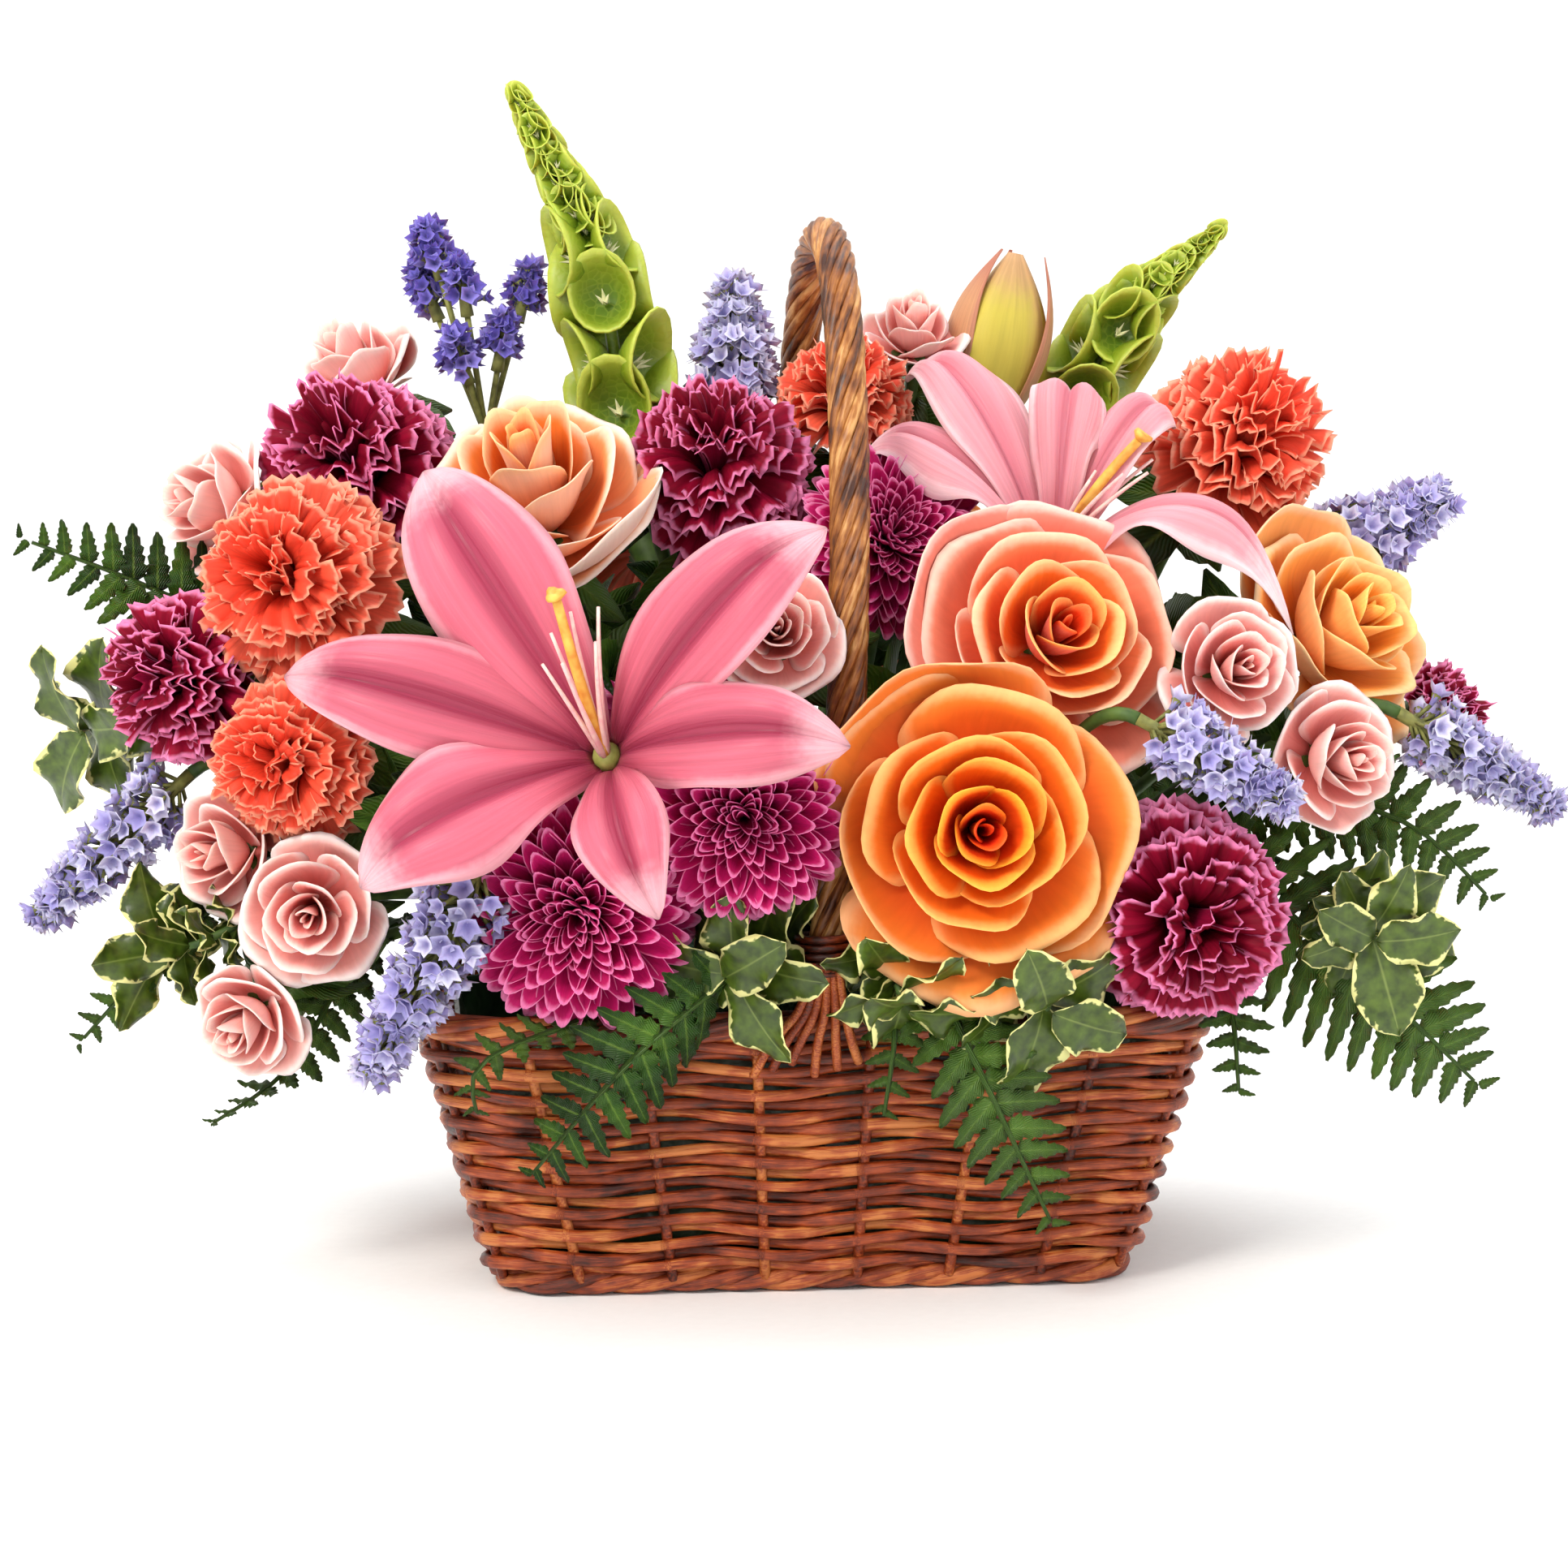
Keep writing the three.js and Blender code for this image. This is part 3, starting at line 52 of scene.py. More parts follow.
MARKS = ("across", "along", "layer", "chance", "inside")


def unit(vectors):
    """Vectors divided by their length."""
    return vectors / np.maximum(np.linalg.norm(vectors, axis=-1, keepdims=True), 1e-9)


def mix(a, b, t):
    """a at t = 0, b at t = 1, and a straight line between."""
    return a + (b - a) * t


def grid_quads(rows, columns, round_columns=False):
    """Quads of a grid whose point in row i, column j has the number i * columns + j."""
    i = np.arange(rows - 1)[:, None]
    j = np.arange(columns if round_columns else columns - 1)[None, :]
    k = (j + 1) % columns
    here, above = i * columns, (i + 1) * columns
    return np.stack(np.broadcast_arrays(here + j, here + k, above + k, above + j), -1).reshape(-1, 4)


def repeated(quads, points_each, count):
    """The quads of one shape, numbered on for each of its copies."""
    return (quads[None] + (np.arange(count) * points_each)[:, None, None]).reshape(-1, 4)


def blades(sheets, thick, layer=0.0, chance=0.0):
    """Closed blades from sheets (count, rows, columns, 3): each point goes half the thickness to either
    side along the cross product of the grid's two directions, thinner at the rim, and quads join both faces
    round the rim."""
    count, rows, columns, _ = sheets.shape
    normal = unit(np.cross(np.gradient(sheets, axis=2), np.gradient(sheets, axis=1)))
    across, along = np.linspace(0, 1, columns)[None, None, :], np.linspace(0, 1, rows)[None, :, None]
    inside = np.minimum(np.minimum(across, 1 - across) * 6, np.minimum(along, 1 - along) * 8)
    push = normal * (thick / 2 * (0.35 + 0.65 * np.clip(inside, 0, 1)))[..., None]
    points = np.concatenate([sheets + push, sheets - push], axis=1)
    top = grid_quads(rows, columns)
    size = rows * columns
    number = np.arange(size).reshape(rows, columns)
    edge = np.concatenate([number[0, :-1], number[:-1, -1], number[-1, :0:-1], number[:0:-1, 0]])
    after = np.roll(edge, -1)
    rim = np.stack([after, edge, edge + size, after + size], -1)
    quads = np.concatenate([top, top[:, ::-1] + size, rim])
    layer, chance = (np.asarray(m, float).reshape(-1, 1, 1) for m in (layer, chance))
    marks = np.stack([np.broadcast_to(m, (count, rows, columns)) for m in (across, along, layer, chance)], -1)
    upper = np.concatenate([marks, np.zeros((*marks.shape[:3], 1))], -1)
    lower = np.concatenate([marks, np.ones((*marks.shape[:3], 1))], -1)
    marks = np.concatenate([upper, lower], axis=1)
    return points.reshape(-1, 3), repeated(quads, 2 * size, count), marks.reshape(-1, len(MARKS))


# %% Rods and cups round a line
def ring_quads(rings, sides, capped=True):
    """Quads between rings of an even number of points, and across the first and last ring where they are
    capped."""
    quads = grid_quads(rings, sides, round_columns=True)
    if not capped:
        return quads
    k = np.arange(sides // 2 - 1)
    cap = np.stack([k, k + 1, sides - 2 - k, sides - 1 - k], -1)
    return np.concatenate([quads, cap[:, ::-1], cap + (rings - 1) * sides])


def rods(lines, radius, sides=8, out=None, closed=False, chance=None):
    """Rods along lines (count, points, 3): rings of points at the radius, across each line's direction. The
    first side of the ring is out where it is given, and is otherwise carried on from ring to ring without
    twisting."""
    lines = np.asarray(lines, float)
    count, steps, _ = lines.shape
    if closed:
        tangent = unit(np.roll(lines, -1, axis=1) - np.roll(lines, 1, axis=1))
    else:
        tangent = unit(np.gradient(lines, axis=1))
    if out is None:
        side = np.zeros_like(lines)
        way = np.where(np.abs(tangent[:, :1, 2:]) < 0.9, [[[0, 0, 1.0]]], [[[1.0, 0, 0]]])[:, 0]
        for i in range(steps):
            way = unit(way - (way * tangent[:, i]).sum(-1, keepdims=True) * tangent[:, i])
            side[:, i] = way
    else:
        side = unit(out - (out * tangent).sum(-1, keepdims=True) * tangent)
    over = np.cross(tangent, side)
    angle = TURN * np.arange(sides) / sides
    reach = np.broadcast_to(radius, (count, steps))[..., None, None]
    ring = side[:, :, None] * np.cos(angle)[:, None] + over[:, :, None] * np.sin(angle)[:, None]
    points = lines[:, :, None] + reach * ring
    quads = ring_quads(steps, sides, capped=not closed)
    if closed:
        last = (steps - 1) * sides + np.arange(sides)
        first = np.arange(sides)
        quads = np.concatenate([quads, np.stack([last, np.roll(last, -1), np.roll(first, -1), first], -1)])
    chance = np.linspace(0, 1, count) if chance is None else np.asarray(chance, float)
    marks = np.zeros((count, steps, sides, len(MARKS)))
    marks[..., 0] = angle / TURN
    marks[..., 1] = np.linspace(0, 1, steps)[None, :, None]
    marks[..., 3] = chance.reshape(-1, 1, 1)
    return points.reshape(-1, 3), repeated(quads, steps * sides, count), marks.reshape(-1, len(MARKS))


def cup(profile, sides, lobes=0, wave=0.0, sweep=0.0):
    """A closed thin-walled cup turned about Z: up the outside, over the rim and down the inside. profile
    lists radius, height and how much of the rim's waving each ring takes: a cosine of lobes times the
    angle."""
    radius, height, share = np.array(profile, float).T[..., None]
    angle = TURN * np.arange(sides)[None] / sides
    waving = share * wave * np.cos(lobes * angle)
    reach = radius * (1 + waving)
    leaning = share * sweep * np.cos(angle)
    points = np.stack([reach * np.cos(angle), reach * np.sin(angle), height + 0.8 * waving + leaning], -1)
    marks = np.zeros((*points.shape[:2], len(MARKS)))
    marks[..., 0] = angle / TURN
    marks[..., 1] = share
    marks[..., 4] = (np.arange(len(profile)) > np.argmax(share[:, 0]))[:, None]
    return points.reshape(-1, 3), ring_quads(len(profile), sides), marks.reshape(-1, len(MARKS))


# %% Turning shapes to their places
def tilt(toward):
    """Matrices that tip +Z the shortest way onto each direction: one, plus the cross-product matrix of Z
    and the direction, plus the square of that matrix over one plus the cosine between them."""
    x, y, z = np.moveaxis(unit(np.asarray(toward, float)), -1, 0)
    f = 1 / np.maximum(1 + z, 1e-3)
    rows = [[1 - x * x * f, -x * y * f, x], [-x * y * f, 1 - y * y * f, y], [-x, -y, z]]
    return np.moveaxis(np.array(rows), (0, 1), (-2, -1))


def standing(shape, at, toward, roll=0.0):
    """A shape made round +Z, turned about Z by roll, tipped toward a direction and moved to its root."""
    points, quads, marks = shape
    c, s = math.cos(roll), math.sin(roll)
    turn = np.array([[c, -s, 0], [s, c, 0], [0, 0, 1]])
    return points @ turn.T @ tilt(toward).T + np.asarray(at, float), quads, marks


def scattered(shape, at, toward, roll, size, chance, layer=None):
    """Copies of a small shape, each scaled, turned about its own axis, tipped toward its direction and
    moved."""
    base, quads, marks = shape
    c, s = np.cos(roll)[:, None], np.sin(roll)[:, None]
    x, y, z = base.T[:, None]
    local = np.stack([x * c - y * s, x * s + y * c, np.broadcast_to(z, (len(roll), len(base)))], -1)
    local = local * np.asarray(size).reshape(-1, 1, 1)
    points = np.einsum("kij,knj->kni", tilt(toward), local) + np.asarray(at)[:, None]
    marks = np.repeat(marks[None], len(roll), axis=0)
    marks[..., 3] = np.asarray(chance)[:, None]
    if layer is not None:
        marks[..., 2] = np.asarray(layer)[:, None]
    return points.reshape(-1, 3), repeated(quads, len(base), len(roll)), marks.reshape(-1, len(MARKS))


def together(shapes):
    """Several shapes as one, with the numbers of the later ones' points moved on."""
    starts = np.cumsum([0] + [len(points) for points, _, _ in shapes])
    quads = [quads + start for (_, quads, _), start in zip(shapes, starts)]
    points, marks = (np.concatenate([shape[k] for shape in shapes]) for k in (0, 2))
    return points, np.concatenate(quads), marks


def smooth_line(points, count):
    """count points evenly along a smooth curve through the given ones: a cubic for each span, whose slopes
    at the ends are those between the neighbours, measured by the square root of the distances."""
    p = np.asarray(points, float)
    p = np.concatenate([[2 * p[0] - p[1]], p, [2 * p[-1] - p[-2]]])
    knots = np.concatenate([[0], np.cumsum(np.sqrt(np.linalg.norm(np.diff(p, axis=0), axis=1)))])
    t = np.linspace(knots[1], knots[-2], 40 * count)
    i = np.clip(np.searchsorted(knots, t, side="right") - 1, 1, len(p) - 3)
    a, b, c, d = (knots[i + k][:, None] for k in (-1, 0, 1, 2))
    q = [p[i + k] for k in (-1, 0, 1, 2)]
    t = t[:, None]
    one = [q[0] + (q[1] - q[0]) * (t - a) / (b - a), q[1] + (q[2] - q[1]) * (t - b) / (c - b)]
    one.append(q[2] + (q[3] - q[2]) * (t - c) / (d - c))
    two = [one[0] + (one[1] - one[0]) * (t - a) / (c - a), one[1] + (one[2] - one[1]) * (t - b) / (d - b)]
    dense = two[0] + (two[1] - two[0]) * (t - b) / (c - b)
    run = np.concatenate([[0], np.cumsum(np.linalg.norm(np.diff(dense, axis=0), axis=1))])
    wanted = np.linspace(0, run[-1], count)
    return np.stack([np.interp(wanted, run, dense[:, k]) for k in range(3)], -1)


# %% A shape becomes a piece
ARRANGEMENT_TURN = math.radians(-5)
made = []


def piece(name, shapes, finish, stands_for=(), turned=True):
    """Puts shapes into one mesh in metres, turned with the arrangement unless told otherwise, with its
    marks as attributes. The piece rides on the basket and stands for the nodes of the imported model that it
    replaces."""
    points, quads, marks = together(shapes) if isinstance(shapes, list) else shapes
    if turned:
        c, s = math.cos(ARRANGEMENT_TURN), math.sin(ARRANGEMENT_TURN)
        points = points @ np.array([[c, s, 0], [-s, c, 0], [0, 0, 1]])
    mesh = bpy.data.meshes.new(name)
    mesh.vertices.add(len(points))
    mesh.vertices.foreach_set("co", (points * MM).astype(np.float32).ravel())
    mesh.loops.add(4 * len(quads))
    mesh.loops.foreach_set("vertex_index", quads.astype(np.int32).ravel())
    mesh.polygons.add(len(quads))
    mesh.polygons.foreach_set("loop_start", np.arange(0, 4 * len(quads), 4, dtype=np.int32))
    mesh.update(calc_edges=True)
    mesh.polygons.foreach_set("use_smooth", np.ones(len(quads), bool))
    for mark, values in zip(MARKS, marks.T):
        mesh.attributes.new(mark, "FLOAT", "POINT").data.foreach_set("value", values.astype(np.float32))
    mesh.materials.append(finish)
    item = bpy.data.objects.new(name, mesh)
    bpy.context.scene.collection.objects.link(item)
    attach(item, "root")
    if stands_for:
        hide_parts(*([stands_for] if isinstance(stands_for, str) else stands_for))
    made.append((name, 2 * len(quads)))
    return item


# %% [markdown]
# ## How a finish is written
# Every colour below is an sRGB hex value read off as a maker would name it, and one function turns it to
# the linear numbers that the shader wants. A second small function adds any node, with its settings and
# links, so a finish reads as a short recipe: where on the petal am I, what colour is that, how does the
# surface shine.
# %% Colours and nodes
def linear(colour):
    """The linear red, green, blue and alpha of an sRGB hex colour."""
    srgb = np.array([int(colour[i : i + 2], 16) for i in (1, 3, 5)]) / 255
    light = np.where(srgb <= 0.04045, srgb / 12.92, ((srgb + 0.055) / 1.055) ** 2.4)
    return (*light.tolist(), 1.0)


def add(tree, kind, inputs=None, give=0, stops=None, **settings):
    """Adds one shader node with its settings. An input is a plain value, a hex colour or the socket that
    feeds it; stops fill a colour ramp; the wanted output, by number or name, comes back."""
    node = tree.nodes.new("ShaderNode" + kind)
    for name, value in settings.items():
        setattr(node, name, value)
    if stops:
        ramp = node.color_ramp.elements
        ramp[0].position, ramp[-1].position = stops[0][0], stops[-1][0]
        ramp[0].color, ramp[-1].color = linear(stops[0][1]), linear(stops[-1][1])
        for position, colour in stops[1:-1]:
            ramp.new(position).color = linear(colour)
    sockets = [s for s in node.inputs if s.enabled]
    for key, value in (inputs or {}).items():
        socket = sockets[key] if isinstance(key, int) else next(s for s in sockets if s.name == key)
        if isinstance(value, bpy.types.NodeSocket):
            tree.links.new(value, socket)
        else:
            socket.default_value = linear(value) if isinstance(value, str) else value
    outputs = [s for s in node.outputs if s.enabled]
    if outputs and isinstance(give, int):
        return outputs[give]
    return next((s for s in outputs if s.name == give), None)


def marks_of(tree):
    """The marks that a piece carries, as sockets by their names."""
    return {mark: add(tree, "Attribute", give="Fac", attribute_name=mark) for mark in MARKS}


def off_middle(tree, mark):
    """How far a point lies off the middle line of its petal or leaf: 0 on it and 0.5 at the margin."""
    off = add(tree, "Math", {0: mark["across"], 1: 0.5}, operation="SUBTRACT")
    return add(tree, "Math", {0: off}, operation="ABSOLUTE")


def finish(name, recipe, bump=0.0, **shader):
    """A material from a recipe that draws the inputs of the shader that vary; the others are set as
    numbers. The drawn Height, if there is one, becomes a bump of so many millimetres."""
    material = bpy.data.materials.new(name)
    material.use_nodes = True
    tree = material.node_tree
    tree.nodes.clear()
    drawn = recipe(tree)
    height = drawn.pop("Height", None)
    if height is not None:
        drawn["Normal"] = add(tree, "Bump", {"Height": height, "Distance": bump * MM, "Strength": 1.0})
    fixed = {key.replace("_", " "): value for key, value in shader.items()}
    surface = add(tree, "BsdfPrincipled", {**fixed, **drawn})
    add(tree, "OutputMaterial", {"Surface": surface})
    return material


# %% The petal recipe
def petal_finish(name, inner, outer, rim_tones_and_highlight, deep, rim_width=0.05, streak=0.2, glow=0.1, rough=0.55, root=0.7,
                 middle=0.0, veins=0.2, gloss=0.25):
    """A petal. From the bloom's heart outward it has three colours on the face that turns to the heart, two
    on its back, and two or three at its rim, partly a paler margin and partly a painted highlight. Toward its
    root it darkens to its deep colour, partly its own deeper tone and partly painted shade of the bloom's
    depths, most on the face that turns to the heart. By a share it is deeper along its middle, and fine
    streaks run along it."""

    def recipe(tree):
        mark = marks_of(tree)
        face = add(tree, "ValToRGB", {0: mark["layer"]}, stops=list(zip((0.12, 0.45, 0.95), inner)))
        back = add(tree, "ValToRGB", {0: mark["layer"]}, stops=list(zip((0.2, 0.9), outer)))
        # painted shade: toward the root the petal darkens to its deep colour, fully on the face that turns to
        # the heart and a third as much on its back; part of this is the petal's own deeper base
        low = add(tree, "MapRange", {0: mark["along"], 1: 0.0, 2: root, 3: 0.9, 4: 0.0},
                  interpolation_type="SMOOTHSTEP")
        shade_on_heart_face = add(tree, "MapRange", {0: mark["inside"], 3: 0.35, 4: 1.0})
        low = add(tree, "Math", {0: low, 1: shade_on_heart_face}, operation="MULTIPLY")
        tone = add(tree, "Mix", {"Factor": mark["inside"], "A": back, "B": face}, data_type="RGBA")
        tone = add(tree, "Mix", {"Factor": low, "A": tone, "B": deep}, data_type="RGBA")
        off = add(tree, "Math", {0: off_middle(tree, mark), 1: 2.0}, operation="MULTIPLY")
        rib = add(tree, "MapRange", {0: off, 1: 0.0, 2: 0.55, 3: middle, 4: 0.0},
                  interpolation_type="SMOOTHERSTEP")
        tone = add(tree, "Mix", {"Factor": rib, "A": tone, "B": deep}, data_type="RGBA")
        # rim: partly the petal's paler margin and partly a painted highlight along the edge that rolls out to
        # the light
        near = add(tree, "Math", {0: off, 1: mark["along"]}, operation="MAXIMUM")
        place = add(tree, "TexCoord", give="Object")
        fray = add(tree, "TexNoise", {"Vector": place, "Scale": 300.0, "Detail": 2.0})
        near = add(tree, "Math", {0: fray, 1: 0.08, 2: near}, operation="MULTIPLY_ADD")
        starts, ends = 1.03 - 1.5 * rim_width, 1.05 - 0.5 * rim_width
        rim = add(tree, "MapRange", {0: near, 1: starts, 2: ends, 3: 0.0, 4: 1.0},
                  interpolation_type="SMOOTHSTEP")
        rim = add(tree, "Math", {0: rim, 1: mark["along"]}, operation="MULTIPLY")
        places = (0.1, 0.9) if len(rim_tones_and_highlight) == 2 else (0.1, 0.26, 0.9)
        rim_tone_and_highlight = add(tree, "ValToRGB", {0: mark["layer"]}, stops=list(zip(places, rim_tones_and_highlight)))
        tone = add(tree, "Mix", {"Factor": rim, "A": tone, "B": rim_tone_and_highlight}, data_type="RGBA")
        # streaks lie about 1.5 mm apart across a 40 mm petal and run its whole length
        spot = add(tree, "CombineXYZ", {0: mark["across"], 1: mark["along"], 2: mark["chance"]})
        spot = add(tree, "VectorMath", {0: spot, 1: (26.0, 1.6, 40.0)}, operation="MULTIPLY")
        lines = add(tree, "TexNoise", {"Vector": spot, "Scale": 1.0, "Detail": 3.0})
        value = add(tree, "MapRange", {0: lines, 1: 0.3, 2: 0.7, 3: 0.94 - streak, 4: 0.94 + 0.4 * streak})
        value = add(tree, "Math", {0: mark["chance"], 1: 0.12, 2: value}, operation="MULTIPLY_ADD")
        tone = add(tree, "HueSaturation", {"Value": value, "Color": tone})
        return {"Base Color": tone, "Height": lines}

    return finish(name, recipe, veins, Roughness=rough, Subsurface_Weight=glow, Subsurface_Scale=0.003,
                  Subsurface_Radius=(1.0, 0.4, 0.2), Specular_IOR_Level=gloss)


# %% [markdown]
# ## The basket
# The basket is red-brown stained willow. Round stakes stand in the foot border, and thin rods are woven in
# front of one stake and behind the next, each row starting one stake further on. It could be a flat wall
# with a bump pattern, but a woven edge shows against the light, so each rod here is a real rod: a closed
# line round the basket that waves in and out once for every two stakes.
# %% Stained willow
WILLOW = ("#360f03", "#75290a", "#a1441a", "#c57539")


def willow_finish(name, colours, rough):
    """Peeled willow, stained and waxed: a tone of its own for each rod, streaks along the grain and darker
    spots where stain gathered. It shines a little, because the bark's wax is still on it."""

    def recipe(tree):
        mark = marks_of(tree)
        place = add(tree, "TexCoord", give="Object")
        # grain 0.8 mm wide, patches 12 mm long
        spot = add(tree, "CombineXYZ", {0: mark["across"], 1: mark["along"], 2: mark["chance"]})
        spot = add(tree, "VectorMath", {0: spot, 1: (9.0, 90.0, 60.0)}, operation="MULTIPLY")
        grain = add(tree, "TexNoise", {"Vector": spot, "Scale": 1.0, "Detail": 4.0})
        patch = add(tree, "TexNoise", {"Vector": place, "Scale": 85.0, "Detail": 3.0})
        both = add(tree, "Math", {0: patch, 1: 0.9, 2: grain}, operation="MULTIPLY_ADD")
        both = add(tree, "Math", {0: mark["chance"], 1: 0.4, 2: both}, operation="MULTIPLY_ADD")
        level = add(tree, "MapRange", {0: both, 1: 0.82, 2: 1.42})
        tone = add(tree, "ValToRGB", {0: level}, stops=list(zip((0.0, 0.35, 0.7, 1.0), colours)))
        shine = add(tree, "MapRange", {0: grain, 3: rough - 0.1, 4: rough + 0.15})
        return {"Base Color": tone, "Roughness": shine, "Height": grain}

    return finish(name, recipe, 0.35)


willow = willow_finish("stained_willow", WILLOW, 0.42)
# painted shade: a darker copy of the stained willow for the foot border and base, which sit under the wall
# where it flares out
shaded_base_willow = willow_finish("willow_with_painted_shade_at_foot", ("#2c0d03", "#662208", "#943c16", "#bc6a32"), 0.5)
handle_willow = willow_finish("golden_willow", ("#3e1a06", "#80481c", "#a96c32", "#cd985a"), 0.4)

# %% The line round the basket
BASE_HALF, RIM_HALF, CORNER = (104, 66), (124, 83), (20, 27)
WALL_FOOT, WALL_TOP, STAKES, WEAVERS = 8.4, 84.0, 22, 20


def rounded(share, half_x, half_y, corner):
    """Points and outward directions at shares of the way round a rounded rectangle: four straight runs and
    four quarter circles, measured off by their lengths."""
    runs = [2 * (half_y - corner), corner * np.pi / 2, 2 * (half_x - corner), corner * np.pi / 2] * 2
    starts = np.concatenate([[0], np.cumsum(runs)])
    left = (share % 1) * starts[-1]
    leg = np.clip(np.searchsorted(starts, left, side="right") - 1, 0, 7)
    into, quarter, arc = left - starts[leg], leg // 2, leg % 2 == 1
    reach = np.where(quarter % 2, half_y, half_x)
    side = np.where(quarter % 2, half_x, half_y) - corner
    bend = np.where(arc, into / corner, 0)
    x = np.where(arc, reach - corner + corner * np.cos(bend), reach)
    y = np.where(arc, side + corner * np.sin(bend), into - side)
    turn = quarter * np.pi / 2
    c, s = np.cos(turn), np.sin(turn)
    zero = np.zeros_like(x)
    at = np.stack([x * c - y * s, x * s + y * c, zero], -1)
    return at, np.stack([np.cos(bend + turn), np.sin(bend + turn), zero], -1)


def wall_size(z):
    """Half length, half width and corner radius of the wall's outside at a height."""
    t = (z - WALL_FOOT) / (WALL_TOP - WALL_FOOT)
    return tuple(mix(a, b, t) for a, b in zip((*BASE_HALF, CORNER[0]), (*RIM_HALF, CORNER[1])))


# %% The woven wall
def woven_wall():
    """Each weaver is a closed line whose distance from the wall's middle is a cosine with one wave for two
    stakes, turned by half a wave from row to row. All rise and sink together with a sine of the same
    length, so that the rods seen in front of the stakes slant one way in one row and the other way in the
    next."""
    chance = np.random.default_rng(3)
    share = np.linspace(0, 1, 264, endpoint=False)
    lines, outs, radii = [], [], []
    for row in range(WEAVERS):
        z = mix(WALL_FOOT + 1.6, WALL_TOP - 0.6, row / (WEAVERS - 1))
        at, out = rounded(share + 0.5 / STAKES, *wall_size(z))
        wave = np.cos(np.pi * STAKES * share + np.pi * row)
        swing = -2.1 + 2.3 * np.sign(wave) * np.abs(wave) ** 0.8
        a, b, c = chance.uniform(0, TURN, 3)
        drift = 0.35 * np.sin(3 * TURN * share + a) + 1.1 * np.sin(np.pi * STAKES * share + 0.2 * b)
        line = at + out * swing[:, None]
        line[:, 2] = z + drift
        lines.append(line)
        outs.append(out)
        radii.append(1.88 * (1 + 0.12 * np.sin(7 * TURN * share + c)))
    weavers = rods(np.array(lines), np.array(radii), 8, out=np.array(outs), closed=True,
                   chance=chance.random(WEAVERS))
    span = (np.floor(STAKES * share / 2 + 0.5 * np.arange(WEAVERS)[:, None]) % (STAKES // 2)).astype(int)
    tones = chance.random((WEAVERS, STAKES // 2))
    weavers[2][:, 3] = np.repeat(np.take_along_axis(tones, span, axis=1).ravel(), 8)
    heights = np.linspace(5.0, WALL_TOP + 1.5, 8)
    stakes = []
    for z in heights:
        at, out = rounded((np.arange(STAKES) + 0.5) / STAKES, *wall_size(z))
        stakes.append(at - out * 2.1 + [0, 0, z])
    uprights = rods(np.array(stakes).transpose(1, 0, 2), 1.7, 8, chance=chance.random(STAKES))
    return [weavers, uprights]


piece("woven_wall", woven_wall(), willow, "basket_wall", turned=False)
print("woven wall:", made[-1][1], "triangles")

# %% [markdown]
# The borders are ropes: a few rods that wind round one line. The top border winds slowly, so its rods look
# almost level from the front. The foot border is of thicker rods and stands on the table.
# %% The plaited borders
def rope(share, at, out, strands, radius, lay, turns, z, seed):
    """Closed strands round a ring: strand k lies at the angle turns times the way round plus k shares of a
    turn."""
    chance = np.random.default_rng(seed)
    k = np.arange(strands)[:, None]
    angle = TURN * (turns * share[None] + k / strands)
    line = at[None] + out[None] * (lay * np.cos(angle))[..., None]
    line[..., 2] = z + lay * np.sin(angle)
    thick = radius * (1 + 0.1 * np.sin(TURN * (11 * share[None] + chance.random((strands, 1)))))
    outs = np.broadcast_to(out, line.shape)
    return rods(line, thick, 8, out=outs, closed=True, chance=chance.random(strands))


def border(half, corner, inset, **plait):
    """A rope along a rounded rectangle that lies an inset within the half length and half width."""
    share = np.linspace(0, 1, 300, endpoint=False)
    return rope(share, *rounded(share, *(side - inset for side in half), corner), **plait)


rim = border(RIM_HALF, CORNER[1], 1.5, strands=6, radius=2.0, lay=2.9, turns=8, z=89.35, seed=5)
piece("plaited_rim", rim, willow, "basket_rim", turned=False)
foot_corner = CORNER[0] - 3
foot_border = border(BASE_HALF, foot_corner, 5.5, strands=3, radius=2.35, lay=1.75, turns=13, z=4.35, seed=6)
upper_border = border(BASE_HALF, foot_corner, 5.8, strands=3, radius=1.6, lay=1.5, turns=14, z=9.4, seed=8)


def woven_mat():
    """Long rods that wave over and under short cross sticks: height is a cosine along the rod, turned by
    half a wave from each rod to the next, and each rod ends where the foot border's rounded outline cuts
    it."""
    long_count, stick_count, pitch, height = 27, 7, 27.5, 3.0
    half_length, half_width, corner = 96, 55, 13
    y = np.linspace(-half_width, half_width, long_count)
    past = np.clip(np.abs(y) - 44, 0, corner) / corner
    half = half_length - corner * (1 - np.sqrt(np.clip(1 - past**2, 0, 1)))
    x = np.linspace(-1, 1, 61)[None] * half[:, None]
    z = height + 0.9 * np.cos(np.pi * x / pitch + np.pi * np.arange(long_count)[:, None])
    long_rods = rods(np.stack([x, np.broadcast_to(y[:, None], x.shape), z], -1), 1.9, 6)
    sticks_x = pitch * (np.arange(stick_count) - (stick_count - 1) / 2)
    ends = np.linspace(-1, 1, 5)[None] * np.full((stick_count, 1), 58.0)
    flat = np.full_like(ends, height)
    sticks = rods(np.stack([np.broadcast_to(sticks_x[:, None], ends.shape), ends, flat], -1), 1.8, 8)
    return [long_rods, sticks]


base = [foot_border, upper_border, *woven_mat()]
piece("woven_base", base, shaded_base_willow, "basket_base", turned=False)
print("borders and base:", sum(t for _, t in made[-2:]), "triangles")

# %% [markdown]
# The hoop handle is a bow wound round with long rods. They lie side by side, at a slant of about fifteen
# degrees, so they are drawn as helices round the bow's line. Split willow binds each foot of the handle to
# the border, with its ends splayed over the weave.
# %% The hoop handle
HANDLE = [
    (0, -84, 96.2), (1, -84, 112), (6, -78, 160), (9, -69, 225), (10, -54, 277), (9.5, -30, 315), (8, 0, 328),
    (6, 30, 315), (4, 54, 277), (2, 69, 225), (1, 78, 160), (0, 84, 112), (0, 84, 96.2),
]


